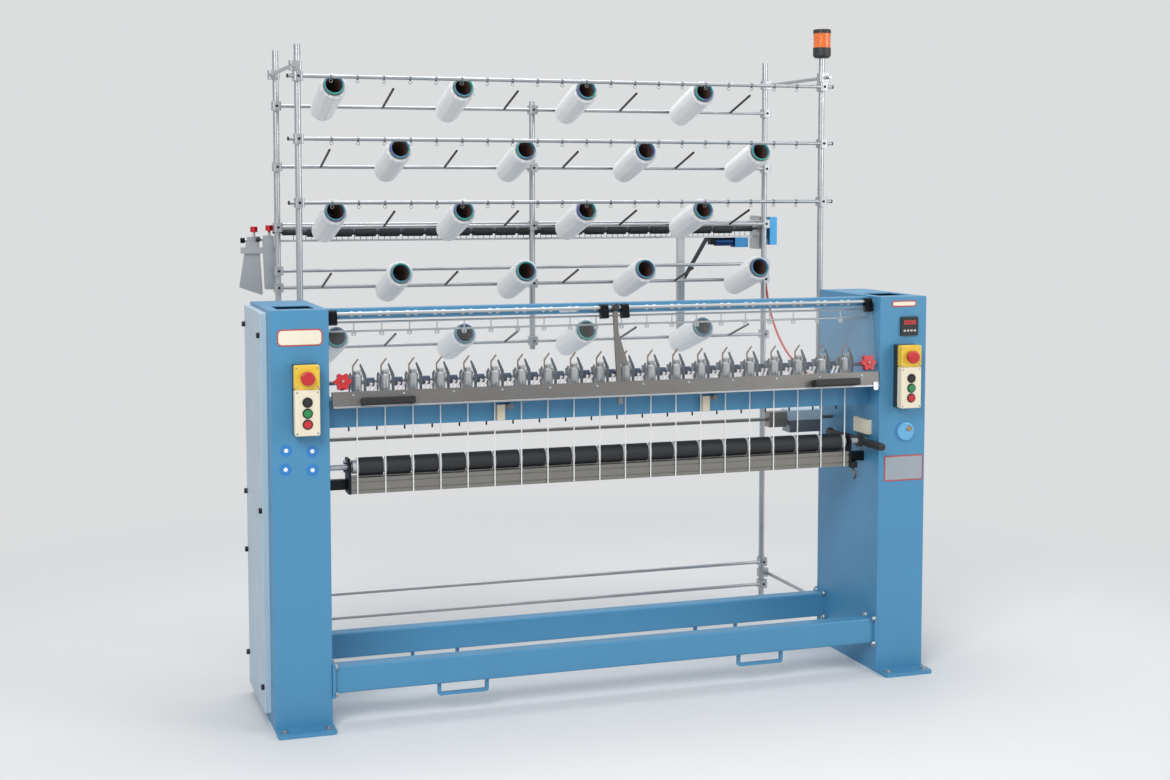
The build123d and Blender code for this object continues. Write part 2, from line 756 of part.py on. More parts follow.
# Control boxes: dark base and light cover, one stop box above one button box on each cabinet
box_width = 71.0
box_base = 28.0
box_cover = 25.0
cover_edge = 2.5
left_box_x = -cabinet_x + 11.5
right_box_x = cabinet_x + 1.5
stop_box_z = (986.0, 1054.0)
button_box_z = (855.0, 985.4)
stop_z = 1018.0
button_zs = (950.0, 919.0, 888.0)
button_names = ("black", "green", "red")
button_diameter = 22.0
button_proud = 5.0
button_stem = 14.0
mushroom_diameter = 40.0
mushroom_thickness = 13.0
mushroom_gap = 7.0
box_face = cabinet_front - box_base - box_cover
counter_x = cabinet_x + 19
counter_z = 1111.0
counter_size = 60.0
counter_proud = 7.0
limit_box = (13.0, 98.0, 46.0)
limit_box_z = roller_z + 47

with BuildPart() as control_boxes:
    for x in (left_box_x, right_box_x):
        for low, high in (stop_box_z, button_box_z):
            with BuildSketch(Plane.XZ.offset(-cabinet_front)):
                with Locations((x, (low + high) / 2)):
                    Rectangle(box_width - 2, high - low)
            extrude(amount=box_base)
    for x in (left_box_x, right_box_x):
        for low, high in (stop_box_z, button_box_z):
            with BuildSketch(Plane.XZ.offset(-cabinet_front + box_base + clearance)):
                with Locations((x, (low + high) / 2)):
                    RectangleRounded(box_width, high - low, 5)
            extrude(amount=box_cover - clearance)
    fillet(control_boxes.faces().group_by(Axis.Y)[0].edges(), cover_edge)
    for x in (left_box_x, right_box_x):
        with BuildSketch(Plane.XZ.offset(-box_face)):
            with Locations([(x, z) for z in (stop_z, *button_zs)]):
                Circle(button_diameter / 2 + clearance)
        extrude(amount=-button_stem - 6, mode=Mode.SUBTRACT)
    with BuildSketch(Plane.XZ.offset(-cabinet_front)):
        with Locations((counter_x, counter_z)):
            RectangleRounded(counter_size, counter_size, 3)
    extrude(amount=counter_proud)
    # Limit switch of the take-down lever on the right cabinet's inner wall
    with Locations((inner_x - limit_box[0] / 2, roller_y + 8, limit_box_z)):
        Box(*limit_box)
save(control_boxes.part, "control_boxes")

for x, side_name in ((left_box_x, "left"), (right_box_x, "right")):
    with BuildPart() as stop_button:
        with BuildSketch(Plane.XZ.offset(-box_face - button_stem)):
            with Locations((x, stop_z)):
                Circle(button_diameter / 2)
        extrude(amount=button_stem + mushroom_gap)
        with BuildSketch(Plane.XZ.offset(-box_face + mushroom_gap)):
            with Locations((x, stop_z)):
                Circle(mushroom_diameter / 2)
        extrude(amount=mushroom_thickness)
        fillet(stop_button.faces().sort_by(Axis.Y)[0].edges(), 5)
    save(stop_button.part, f"{side_name}_stop_button")
    for z, colour in zip(button_zs, button_names):
        with BuildPart() as push_button:
            with BuildSketch(Plane.XZ.offset(-box_face - button_stem)):
                with Locations((x, z)):
                    Circle(button_diameter / 2)
            extrude(amount=button_stem + button_proud)
        save(push_button.part, f"{side_name}_{colour}_button")

# Creel: four corner posts and a middle post, carrying rear bars for cones and front yarn bars
front_post_y = cabinet_rear + 14 + post_diameter / 2
feed_plate_depth = 88.0
clamp_wall = 3.0
rear_post_y = machine_depth / 2 - feed_plate_depth - post_diameter / 2 - clamp_wall
post_x = inner_x + 10
front_post_top = 1985.0
front_post_bottom = 880.0
row_heights = (1818.0, 1618.0, 1418.0, 1217.0, 1015.0)
front_bar_heights = (1888.0, 1698.0, 1503.0)
side_tube_height = 1920.0
tie_heights = (170.0, 87.0)
bar_overhang = 34.0
rear_overhang = 15.0
bar_gap = (post_diameter + bar_diameter) / 2 + clearance
rear_bar_y = rear_post_y - bar_gap
front_bar_y = front_post_y - bar_gap
clamp_size = 30.0
clamp_corner = 7.0
clamp_depth = bar_gap + post_diameter / 2 + bar_diameter / 2 + 2 * clamp_wall
clamp_shift = (bar_gap + bar_diameter / 2 - post_diameter / 2) / 2
rear_clamp_y = rear_post_y - clamp_shift
front_clamp_y = front_post_y - clamp_shift
wall_clamp_heights = (930.0, 1150.0)
feed_bar_height = 1273.0

side_x = post_x + bar_gap
rear_bar_heights = (*row_heights, feed_bar_height, *tie_heights)
side_tie_height = tie_heights[1] + 40
with BuildPart() as creel_tubes:
    with BuildSketch(Plane.XY):
        with Locations([(side * post_x, rear_post_y) for side in both_sides]):
            Circle(post_diameter / 2)
    extrude(amount=creel_height)
    with BuildSketch(Plane.XY.offset(front_post_bottom)):
        with Locations([(side * post_x, front_post_y) for side in both_sides]):
            Circle(post_diameter / 2)
    extrude(amount=front_post_top - front_post_bottom)
    with BuildSketch(Plane.XY.offset(row_heights[-1] - clamp_size)):
        with Locations((0, rear_post_y)):
            Circle(post_diameter / 2)
    extrude(amount=row_heights[0] - row_heights[-1] + 2 * clamp_size)
    with BuildSketch(Plane.YZ.offset(-post_x - rear_overhang)):
        with Locations([(rear_bar_y, z) for z in rear_bar_heights]):
            Circle(bar_diameter / 2)
    extrude(amount=2 * (post_x + rear_overhang))
    with BuildSketch(Plane.YZ.offset(-post_x - bar_overhang)):
        with Locations([(front_bar_y, z) for z in front_bar_heights]):
            Circle(bar_diameter / 2)
    extrude(amount=2 * (post_x + bar_overhang))
    with BuildSketch(Plane.XZ.offset(-rear_post_y - bar_overhang)):
        with Locations([(side * side_x, side_tube_height) for side in both_sides]):
            Circle(bar_diameter / 2)
    extrude(amount=rear_post_y - front_post_y + 2 * bar_overhang)
    # Ties from the rear posts to the backs of the cabinets
    with BuildSketch(Plane.XZ.offset(-rear_post_y - clamp_size / 2)):
        with Locations([(side * side_x, side_tie_height) for side in both_sides]):
            Circle(bar_diameter / 2)
    extrude(amount=rear_post_y + clamp_size / 2 - cabinet_rear)

# Cross clamps hold each bar in front of its post, and wall clamps hold the front posts
clamps = [(side * post_x, rear_clamp_y, z) for side in both_sides for z in rear_bar_heights]
clamps += [(side * post_x, front_clamp_y, z) for side in both_sides for z in front_bar_heights]
clamps += [(0, rear_clamp_y, z) for z in row_heights]
side_clamps = [
    (side * (post_x + clamp_shift), y, z)
    for side in both_sides
    for y, z in (
        (front_post_y, side_tube_height),
        (rear_post_y, side_tube_height),
        (rear_post_y, side_tie_height),
    )
]
wall_clamp_depth = front_post_y + post_diameter / 2 + clamp_wall - cabinet_rear
wall_clamp_x = post_x + clamp_size / 2 - post_diameter / 2 - clamp_wall
wall_clamps = [
    (side * wall_clamp_x, cabinet_rear + wall_clamp_depth / 2, z)
    for side in both_sides
    for z in wall_clamp_heights
]
clamp_sets = (
    (clamps, clamp_size, clamp_depth),
    (side_clamps, clamp_depth, clamp_size),
    (wall_clamps, clamp_size, wall_clamp_depth),
)
with BuildPart() as creel_clamps:
    for places, width, depth in clamp_sets:
        with BuildPart(mode=Mode.PRIVATE) as clamp_block:
            Box(width, depth, clamp_size)
            fillet(clamp_block.edges().filter_by(Axis.Z), clamp_corner)
        with Locations(places):
            add(clamp_block.part)
    add(creel_tubes.part, mode=Mode.SUBTRACT)
save(Compound([*creel_tubes.part.solids(), *creel_clamps.part.solids()]), "creel_frame")

# Cone spindles: thin rods that lean forward and up from every rear bar
spindle_pitch = 211.4
spindle_length = 180.0
spindle_diameter = 8.0
spindle_rise = 17.0
rise = math.radians(spindle_rise)
spindle_xs = [(i - (cone_columns - 1) / 2) * spindle_pitch for i in range(cone_columns)]


def spindle_location(x, z, drop=0.0):
    """Place a spindle's axis at one spot of a rear bar, lowered square to itself by drop."""
    origin = (x, rear_bar_y - drop * math.sin(rise), z - drop * math.cos(rise))
    return Plane(origin, x_dir=(1, 0, 0), z_dir=(0, -math.cos(rise), math.sin(rise))).location


with BuildPart() as cone_spindles:
    with Locations([spindle_location(x, z) for z in row_heights for x in spindle_xs]):
        Cylinder(
            spindle_diameter / 2,
            spindle_length,
            align=(Align.CENTER, Align.CENTER, Align.MIN),
        )
save(cone_spindles.part, "cone_spindles")

# Yarn packages: wound cones that rest on every second spindle, each on its own tube
package_length = 236.0
package_diameter = 86.0
package_rear_diameter = 80.0
tube_diameter = 64.0
tube_bore = 56.0
tube_length = 250.0
package_start = 26.0
package_edge = 7.0
package_drop = tube_bore / 2 - spindle_diameter / 2 - clearance
package_places = [
    spindle_location(spindle_xs[column], z, package_drop)
    for row, z in enumerate(row_heights)
    for column in range(row % 2, cone_columns, 2)
]
with BuildPart(mode=Mode.PRIVATE) as wound_yarn:
    with BuildSketch(Plane.XZ):
        with BuildLine():
            Polyline(
                (tube_diameter / 2 + clearance, package_start + 6),
                (package_rear_diameter / 2 - package_edge, package_start + 6),
                (package_rear_diameter / 2, package_start + 6 + package_edge),
                (package_diameter / 2, package_start + package_length - 4),
                (package_diameter / 2 - 4, package_start + package_length),
                (tube_diameter / 2 + clearance, package_start + package_length),
                close=True,
            )
        make_face()
    revolve(axis=Axis.Z)
with BuildPart() as yarn_packages:
    with Locations(package_places):
        add(wound_yarn.part)
save(yarn_packages.part, "yarn_packages")

with BuildPart(mode=Mode.PRIVATE) as paper_tube:
    with BuildSketch(Plane.XY.offset(package_start)):
        Circle(tube_diameter / 2)
        Circle(tube_bore / 2, mode=Mode.SUBTRACT)
    extrude(amount=tube_length)
with BuildPart() as cone_tubes:
    with Locations(package_places):
        add(paper_tube.part)
save(cone_tubes.part, "cone_tubes")

# Beacon on the right front post
beacon_diameter = 60.0
beacon_base = 34.0
beacon_lens_height = 48.0
beacon_cap = 14.0
beacon_spigot = 40.0
with BuildPart() as beacon_body:
    with BuildSketch(Plane.XY.offset(front_post_top)):
        with Locations((post_x, front_post_y)):
            Circle(beacon_diameter / 2)
    extrude(amount=beacon_base)
    chamfer(beacon_body.faces().sort_by(Axis.Z)[0].edges(), 7)
    with BuildSketch(Plane.XY.offset(front_post_top + beacon_base)):
        with Locations((post_x, front_post_y)):
            Circle(beacon_spigot / 2)
    extrude(amount=beacon_lens_height)
    with BuildSketch(Plane.XY.offset(front_post_top + beacon_base + beacon_lens_height)):
        with Locations((post_x, front_post_y)):
            Circle(beacon_diameter / 2)
    extrude(amount=beacon_cap)
    fillet(beacon_body.faces().sort_by(Axis.Z)[-1].edges(), 5)
save(beacon_body.part, "beacon_body")

with BuildPart() as beacon_lens:
    with BuildSketch(Plane.XY.offset(front_post_top + beacon_base)):
        with Locations((post_x, front_post_y)):
            Circle(beacon_diameter / 2 - 1)
            Circle(beacon_spigot / 2 + clearance, mode=Mode.SUBTRACT)
    extrude(amount=beacon_lens_height)
save(beacon_lens.part, "beacon_lens")

# Yarn feed unit behind the rear posts: a black feed roller over a rail, on end brackets
feed_y = rear_post_y + 54
feed_z = 1400.0
feed_roller_diameter = 34.0
feed_core = 22.0
feed_journal = 10.0
feed_groove = 14.0
feed_half = inner_x - 13.5
feed_rail_z = 1374.0
feed_rail_height = 6.0
feed_rail_depth = 40.0
feed_end_x = feed_half + 12
feed_plate = 8.0
feed_plate_height = 122.0
feed_post_face = rear_post_y + post_diameter / 2 + clamp_wall
with BuildPart() as feed_roller:
    with BuildSketch(Plane.YZ.offset(-feed_half)):
        with Locations((feed_y, feed_z)):
            Circle(feed_core / 2)
    extrude(amount=2 * feed_half)
    with Locations([(x + head_pitch / 2, feed_y, feed_z) for x in head_xs[:-1]]):
        Cylinder(feed_roller_diameter / 2, head_pitch - feed_groove, rotation=(0, 90, 0))
    with BuildSketch(Plane.YZ.offset(-feed_end_x - 20)):
        with Locations((feed_y, feed_z)):
            Circle(feed_journal / 2)
    extrude(amount=2 * feed_end_x + 40)
save(feed_roller.part, "feed_roller")

# Feed frame: end plates on the rear posts, a rail with its gearbox, a leg and the cable gland
strut_size = 16.0
feed_leg_x = 578.0
feed_leg_width = 27.0
feed_gearbox_x = 810.0
feed_gearbox_size = (52.0, 44.0, 36.0)
feed_motor_diameter = 30.0
feed_motor_length = 72.0
feed_plug_size = (22.0, 28.0, 26.0)
feed_tube_diameter = 10.0
feed_tube_y = feed_y - 20
feed_tube_z = feed_z + 26
brace_thickness = 8.0
brace_drop = 160.0
tension_bar = 20.0
tension_reach = 118.0
tension_thickness = 14.0
tension_knob = 24.0
tension_stop = 18.0
gland_size = 20.0
feed_gland_y = feed_y - 12
feed_gland_z = feed_z - 60
cable_diameter = 8.0
cable_x = post_x + rear_overhang + 10
gland_x = cable_x + cable_diameter
leg_top = feed_rail_z - feed_rail_height
leg_bottom = row_heights[-1] - 10
with BuildPart() as feed_plates:
    for side in both_sides:
        with BuildSketch(Plane.YZ.offset(side * feed_end_x)):
            with Locations((feed_post_face + feed_plate_depth / 2, feed_z - 14)):
                RectangleRounded(feed_plate_depth, feed_plate_height, 8)
            with Locations((feed_y, feed_z)):
                Circle(feed_journal / 2 + running_fit, mode=Mode.SUBTRACT)
        extrude(amount=side * feed_plate)
    with Locations(((feed_end_x + feed_plate + gland_x) / 2, feed_gland_y, feed_gland_z + gland_size / 2)):
        Box(gland_x - feed_end_x - feed_plate, gland_size, gland_size)
with BuildPart() as feed_rail:
    with Locations((0, feed_y, feed_rail_z - feed_rail_height / 2)):
        Box(2 * feed_end_x, feed_rail_depth, feed_rail_height)
# Gearbox, motor and plug of the feed drive, hung in a row under the rail
motor_end = feed_gearbox_x - feed_gearbox_size[0] / 2
plug_x = motor_end - feed_motor_length - feed_plug_size[0] / 2
with BuildPart() as feed_gearbox:
    with Locations((feed_gearbox_x, feed_y, leg_top - feed_gearbox_size[2] / 2)):
        Box(*feed_gearbox_size)
    with BuildSketch(Plane.YZ.offset(motor_end - feed_motor_length)):
        with Locations((feed_y, leg_top - 1 - feed_motor_diameter / 2)):
            Circle(feed_motor_diameter / 2)
    extrude(amount=feed_motor_length)
    with Locations((plug_x, feed_y, leg_top - feed_plug_size[2] / 2)):
        Box(*feed_plug_size)
with BuildPart() as feed_leg:
    with Locations((feed_leg_x, feed_y, (leg_top + leg_bottom) / 2)):
        Box(feed_leg_width, strut_size, leg_top - leg_bottom)
with BuildPart() as feed_tube:
    with BuildSketch(Plane.YZ.offset(-feed_end_x)):
        with Locations((feed_tube_y, feed_tube_z)):
            Circle(feed_tube_diameter / 2)
    extrude(amount=2 * feed_end_x)
leg_side = feed_leg_x + feed_leg_width / 2
brace_top = plug_x - feed_plug_size[0] / 2
with BuildPart() as feed_brace:
    with BuildSketch(Plane.XZ.offset(-feed_y - brace_thickness / 2)):
        with BuildLine():
            Polyline(
                (leg_side, leg_top - brace_drop),
                (brace_top, leg_top),
                (brace_top - 2 * brace_thickness, leg_top),
                (leg_side, leg_top - brace_drop + 3 * brace_thickness),
                close=True,
            )
        make_face()
    extrude(amount=brace_thickness)
# Junction box at the right end, on a plate that stands out from the end plate
junction_face = gland_x
junction_size = (28.0, 60.0, 102.0)
with BuildPart() as feed_junction:
    with Locations((junction_face + junction_size[0] / 2, feed_y - 6, feed_z - 9)):
        Box(*junction_size)
    plate_reach = junction_face - feed_end_x - feed_plate
    with Locations((junction_face - plate_reach / 2, feed_y + 15, feed_z - 25)):
        Box(plate_reach, 6, 70)
# Two yarn tension arms at the left end on a bar, each with a knob on top and a stop at its side
bar_end = -feed_end_x - feed_plate
with BuildPart() as tension_carrier:
    with Locations((bar_end - tension_reach / 2, feed_y, feed_z - 60)):
        Box(tension_reach, tension_bar, tension_bar)
tension_outlines = (
    (1, ((-95, -15), (-57, -15), (-45, -212), (-123, -184))),
    (-1, ((-48, -10), (-12, -10), (-6, -190), (-43, -190))),
)
tension_pieces = []
for face, outline in tension_outlines:
    arm_y = feed_y + face * (tension_bar + tension_thickness) / 2
    with BuildPart() as tension_arm:
        with BuildSketch(Plane.XZ.offset(-arm_y - tension_thickness / 2)) as arm_outline:
            with BuildLine():
                Polyline(*[(bar_end + x, feed_z + z) for x, z in outline], close=True)
            make_face()
            fillet(arm_outline.vertices(), 5)
        extrude(amount=tension_thickness)
        knob_place = (bar_end + (outline[0][0] + outline[1][0]) / 2 + 4, arm_y)
        arm_top = feed_z + outline[0][1]
        with BuildSketch(Plane.XY.offset(arm_top - 4)):
            with Locations(knob_place):
                Circle(tension_thickness / 3)
        extrude(amount=tension_knob)
        with BuildSketch(Plane.XY.offset(arm_top + 16)):
            with Locations(knob_place):
                Circle(tension_knob / 2)
        extrude(amount=tension_stop)
        stop_x = bar_end + outline[0][0]
        with BuildSketch(Plane.YZ.offset(stop_x - 16)):
            with Locations((arm_y, arm_top - 12)):
                Circle(tension_thickness / 2 - 1)
        extrude(amount=24)
        with BuildSketch(Plane.YZ.offset(stop_x - 22)):
            with Locations((arm_y, arm_top - 12)):
                Circle(tension_stop / 2)
        extrude(amount=14)
    tension_pieces.append(tension_arm)
feed_pieces = (
    feed_plates,
    feed_rail,
    feed_gearbox,
    feed_leg,
    feed_tube,
    feed_brace,
    feed_junction,
    tension_carrier,
    *tension_pieces,
)
feed_solids = [solid for piece in feed_pieces for solid in piece.part.solids()]
save(Compound(feed_solids), "feed_frame")

# Feed cable: from a gland on the right end plate down and forward to the right cabinet's back
cable_points = [
    (cable_x, feed_gland_y, feed_gland_z),
    (cable_x, feed_gland_y, feed_gland_z - 85),
    (cable_x, feed_gland_y - 14, feed_gland_z - 170),
    (cable_x, feed_gland_y - 52, feed_gland_z - 250),
    (cable_x, feed_gland_y - 112, feed_gland_z - 322),
    (cable_x, feed_gland_y - 190, feed_gland_z - 380),
    (cable_x, feed_gland_y - 282, feed_gland_z - 420),
    (cable_x, feed_gland_y - 380, feed_gland_z - 444),
    (cable_x, cabinet_rear, feed_gland_z - 444),
]


def arc_radii(points):
    """Radii that let each bend of a route take up most of the shorter run beside it."""
    radii = []
    for before, corner, after in zip(points, points[1:], points[2:]):
        run_in = Vector(*corner) - Vector(*before)
        run_out = Vector(*after) - Vector(*corner)
        half_turn = math.radians(run_in.get_angle(run_out)) / 2
        radii.append(0.45 * min(run_in.length, run_out.length) / math.tan(half_turn))
    return radii


cable_radii = arc_radii(cable_points)
print("feed cable radii", [round(radius) for radius in cable_radii])
with BuildPart() as feed_cable:
    with BuildLine() as cable_route:
        FilletPolyline(*cable_points, radius=cable_radii)
    with BuildSketch(Plane(cable_route.line @ 0, z_dir=cable_route.line % 0)):
        Circle(cable_diameter / 2)
    sweep()
print("feed cable length", round(cable_route.wires()[0].length, 1))
save(feed_cable.part, "feed_cable")

# Geared motors inside the cabinets: one turns the line shaft, the other the take-down roller
drive_box = (88.0, 110.0, 110.0)
drive_motor_diameter = 120.0
drive_motor_length = 160.0
takedown_box = (78.0, 96.0, 96.0)
takedown_motor_diameter = 90.0
takedown_motor_length = 150.0
wall_space = 2.0
with BuildPart() as gear_motors:
    drive_x = -inner_x - sheet - drive_box[0] / 2
    with Locations((drive_x, shaft_y, shaft_z)):
        Box(*drive_box)
    motor_x = -inner_x - sheet - wall_space - drive_motor_diameter / 2
    with Locations((motor_x, shaft_y, shaft_z - drive_box[2] / 2 - drive_motor_length / 2)):
        Cylinder(drive_motor_diameter / 2, drive_motor_length)
    with Locations(Plane((drive_x, shaft_y, shaft_z), z_dir=(1, 0, 0))):
        Cylinder(shaft_diameter / 2 + running_fit, drive_box[0], mode=Mode.SUBTRACT)
    takedown_x = inner_x + sheet + takedown_box[0] / 2
    with Locations((takedown_x, roller_y, roller_z)):
        Box(*takedown_box)
    motor_y = roller_y + takedown_box[1] / 2 + takedown_motor_length / 2
    motor_x = inner_x + sheet + wall_space + takedown_motor_diameter / 2
    with Locations(Plane((motor_x, motor_y, roller_z), z_dir=(0, 1, 0))):
        Cylinder(takedown_motor_diameter / 2, takedown_motor_length)
    with Locations(Plane((takedown_x, roller_y, roller_z), z_dir=(1, 0, 0))):
        Cylinder(roller_journal / 2 + running_fit, takedown_box[0], mode=Mode.SUBTRACT)
save(gear_motors.part, "gear_motors")
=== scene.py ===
"""Looks of a cord knitting machine: its finishes, fine fittings, yarn, studio and camera.

The frame gives the machine's bodies in metres, with +Z up and -Y towards the operator. Shapes,
places and grain sizes are in millimetres here, and become metres where Blender gets them.
"""

import logging
import math
from collections.abc import Sequence
from dataclasses import dataclass
from enum import Enum

import bmesh
import bpy
import numpy as np
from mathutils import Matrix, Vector


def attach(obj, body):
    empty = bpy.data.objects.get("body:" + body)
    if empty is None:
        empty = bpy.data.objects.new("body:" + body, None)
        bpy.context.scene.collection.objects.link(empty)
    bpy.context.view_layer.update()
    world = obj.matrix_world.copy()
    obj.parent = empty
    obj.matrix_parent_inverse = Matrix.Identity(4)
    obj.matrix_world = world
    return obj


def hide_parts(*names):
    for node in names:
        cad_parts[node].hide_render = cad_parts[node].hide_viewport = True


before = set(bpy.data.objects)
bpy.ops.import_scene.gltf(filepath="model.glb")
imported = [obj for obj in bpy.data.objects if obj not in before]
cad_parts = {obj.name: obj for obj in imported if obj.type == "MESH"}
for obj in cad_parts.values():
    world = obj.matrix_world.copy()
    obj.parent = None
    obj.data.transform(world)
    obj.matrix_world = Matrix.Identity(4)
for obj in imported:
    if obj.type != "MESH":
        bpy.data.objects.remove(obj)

Tree = bpy.types.NodeTree
Node = bpy.types.Node
Socket = bpy.types.NodeSocket
Object = bpy.types.Object
Triple = tuple[float, float, float]
Span = tuple[float, float]

LOG = logging.getLogger("cord_machine")
MM = 0.001
MACHINE = "machine"
GUARD = "guard"
FULL_TURN = 2 * math.pi
PITCH = 82.5
"""The distance between two heads."""
HEADS = np.arange(-9.5, 10.0) * PITCH
"""The place of each head along X."""


class Side(Enum):
    """The two ends of the machine, with the sign that each has along X."""

    LEFT = -1
    RIGHT = 1

    @property
    def label(self) -> str:
        """The word that the names of this side's pieces start with."""
        return self.name.lower()


def linear(code: str) -> tuple[float, float, float, float]:
    """Turn an sRGB hex colour into linear values.

    Args:
        code: Six hex digits.

    Returns:
        Red, green, blue and an alpha of one.
    """
    parts = np.array([int(code[i : i + 2], 16) / 255 for i in (0, 2, 4)])
    curve = np.where(parts <= 0.04045, parts / 12.92, ((parts + 0.055) / 1.055) ** 2.4)
    return (float(curve[0]), float(curve[1]), float(curve[2]), 1.0)


def feed(tree: Tree, target: Socket, value: object) -> None:
    """Set an input of a node.

    Args:
        tree: The node tree.
        target: The input.
        value: A socket to link to it, a hex code for its colour, or its plain value.
    """
    if isinstance(value, Socket):
        tree.links.new(value, target)
    else:
        target.default_value = linear(value) if isinstance(value, str) else value


def add_node(tree: Tree, kind: str, settings: dict[str | int, object] | None = None) -> Node:
    """Add one node with its settings and links.

    Args:
        tree: The node tree.
        kind: The node's type without the word ShaderNode.
        settings: Values by the name of an attribute, or by the name or number of an input.

    Returns:
        The new node.
    """
    node = tree.nodes.new("ShaderNode" + kind)
    for key, value in (settings or {}).items():
        if isinstance(key, str) and hasattr(node, key):
            setattr(node, key, value)
        else:
            feed(tree, node.inputs[key], value)
    return node


def calculate(tree: Tree, operation: str, value: Socket, other: Socket | float = 0.0) -> Socket:
    """Apply one arithmetic step to a value and a second value or number."""
    return add_node(tree, "Math", {"operation": operation, 0: value, 1: other}).outputs[0]


def noise(
    tree: Tree, place: Socket, size: float, detail: float = 3.0, stretch: Triple = (1.0, 1.0, 1.0)
) -> Socket:
    """Make a cloud pattern whose blobs have a real size.

    Args:
        tree: The node tree.
        place: Coordinates in metres.
        size: The size of one blob in millimetres.
        detail: How many finer layers lie on it.
        stretch: Factors that squeeze the blobs along each axis.

    Returns:
        The pattern, around one half.
    """
    mapped = add_node(tree, "Mapping", {"Scale": stretch, "Vector": place}).outputs[0]
    settings = {"Scale": 1 / (size * MM), "Detail": detail, "Roughness": 0.55, "Vector": mapped}
    return add_node(tree, "TexNoise", settings).outputs["Fac"]


def ranged(tree: Tree, value: Socket, low: float, high: float) -> Socket:
    """Spread a pattern that lies around one half over a range from low to high."""
    settings = {"From Min": 0.3, "From Max": 0.7, "To Min": low, "To Max": high, "Value": value}
    return add_node(tree, "MapRange", settings).outputs[0]


def blend(tree: Tree, factor: Socket, first: Socket | str, second: Socket | str) -> Socket:
    """Mix two colours, each a socket or a hex code: factor zero gives the first one."""
    return add_node(tree, "Mix", {"data_type": "RGBA", 0: factor, 6: first, 7: second}).outputs[2]


@dataclass(frozen=True)
class Zone:
    """The part of a surface inside a box, with its own colour. A side left out is open."""

    colour: str
    x: Span | None = None
    y: Span | None = None
    z: Span | None = None
    metallic: float = 0.0

    def mask(self, tree: Tree, place: Socket) -> Socket:
        """Give one inside the zone and zero outside it."""
        axes = add_node(tree, "SeparateXYZ", {0: place}).outputs
        total: Socket | None = None
        for axis, side in enumerate((self.x, self.y, self.z)):
            for operation, limit in zip(("GREATER_THAN", "LESS_THAN"), side or ()):
                step = calculate(tree, operation, axes[axis], limit * MM)
                total = step if total is None else calculate(tree, "MULTIPLY", total, step)
        return total


def both_ends(colour: str, x: Span, **sides: object) -> tuple[Zone, Zone]:
    """Give a zone at the right end and the same one at the left end."""
    low, high = x
    return Zone(colour, x, **sides), Zone(colour, (-high, -low), **sides)


@dataclass(frozen=True)
class Repeat:
    """Stretches that repeat along X with the heads, such as the gaps between roller sleeves."""

    colour: str
    offset: float
    width: float
    metallic: float = 1.0

    def mask(self, tree: Tree, place: Socket) -> Socket:
        """Give one within half a width of every repeated place: a folded sawtooth of x."""
        along = add_node(tree, "SeparateXYZ", {0: place}).outputs[0]
        shifted = calculate(tree, "SUBTRACT", along, (self.offset - PITCH / 2) * MM)
        folded = calculate(tree, "FRACT", calculate(tree, "DIVIDE", shifted, PITCH * MM))
        centred = calculate(tree, "ABSOLUTE", calculate(tree, "SUBTRACT", folded, 0.5))
        return calculate(tree, "LESS_THAN", centred, self.width / 2 / PITCH)


@dataclass(frozen=True)
class Finish:
    """A surface finish with a colour, a grain and parts of other colours.

    The grain is a fine bump, and the mottle a slow change of colour and gloss.
    """

    name: str
    colour: str
    second: str
    roughness: float = 0.45
    spread: float = 0.06
    metallic: float = 0.0
    ior: float = 1.5
    grain: float = 1.5
    grain_depth: float = 0.04
    grain_stretch: Triple = (1.0, 1.0, 1.0)
    mottle: float = 120.0
    coat: float = 0.0
    coat_roughness: float = 0.12
    sheen: float = 0.0
    zones: tuple[Zone | Repeat, ...] = ()

    def material(self) -> bpy.types.Material:
        """Build the material once and give it again after that."""
        known = bpy.data.materials.get(self.name)
        if known is not None:
            return known
        made = bpy.data.materials.new(self.name)
        made.use_nodes = True
        tree = made.node_tree
        tree.nodes.clear()
        place = add_node(tree, "TexCoord").outputs["Object"]
        settings = {"Metallic": self.metallic, "IOR": self.ior, "Coat Weight": self.coat}
        settings |= {"Coat Roughness": self.coat_roughness, "Sheen Weight": self.sheen}
        shader = add_node(tree, "BsdfPrincipled", settings)
        self.paint(tree, place, shader)
        add_node(tree, "OutputMaterial", {0: shader.outputs[0]})
        return made

    def paint(self, tree: Tree, place: Socket, shader: Node) -> None:
        """Link colour, metal, gloss and bump to the shader.

        The last zone that isn't as metallic as the rest sets where the metal shows.

        Args:
            tree: The node tree.
            place: Coordinates in metres.
            shader: The surface shader.
        """
        slow = noise(tree, place, self.mottle, 2.0)
        fine = noise(tree, place, self.grain, 4.0, self.grain_stretch)
        factor = calculate(tree, "MULTIPLY", calculate(tree, "ADD", slow, fine), 0.5)
        colour = blend(tree, ranged(tree, factor, 0.0, 1.0), self.colour, self.second)
        for zone in self.zones:
            mask = zone.mask(tree, place)
            colour = blend(tree, mask, colour, zone.colour)
            if zone.metallic != self.metallic:
                settings = {"To Min": self.metallic, "To Max": zone.metallic, "Value": mask}
                metal = add_node(tree, "MapRange", settings).outputs[0]
                feed(tree, shader.inputs["Metallic"], metal)
        self.finish_up(tree, shader, colour, factor, fine)

    def finish_up(self, tree: Tree, shader: Node, colour: Socket, gloss: Socket, height: Socket) -> None:
        """Link the patterns to the shader's inputs.

        Args:
            tree: The node tree.
            shader: The surface shader.
            colour: The colour.
            gloss: A pattern around one half that moves the roughness by the spread.
            height: A pattern that the bump follows.
        """
        low, high = self.roughness - self.spread, self.roughness + self.spread
        settings = {"Strength": 1.0, "Distance": self.grain_depth * MM, "Height": height}
        bump = add_node(tree, "Bump", settings).outputs[0]
        feed(tree, shader.inputs["Base Color"], colour)
        feed(tree, shader.inputs["Roughness"], ranged(tree, gloss, low, high))
        feed(tree, shader.inputs["Normal"], bump)


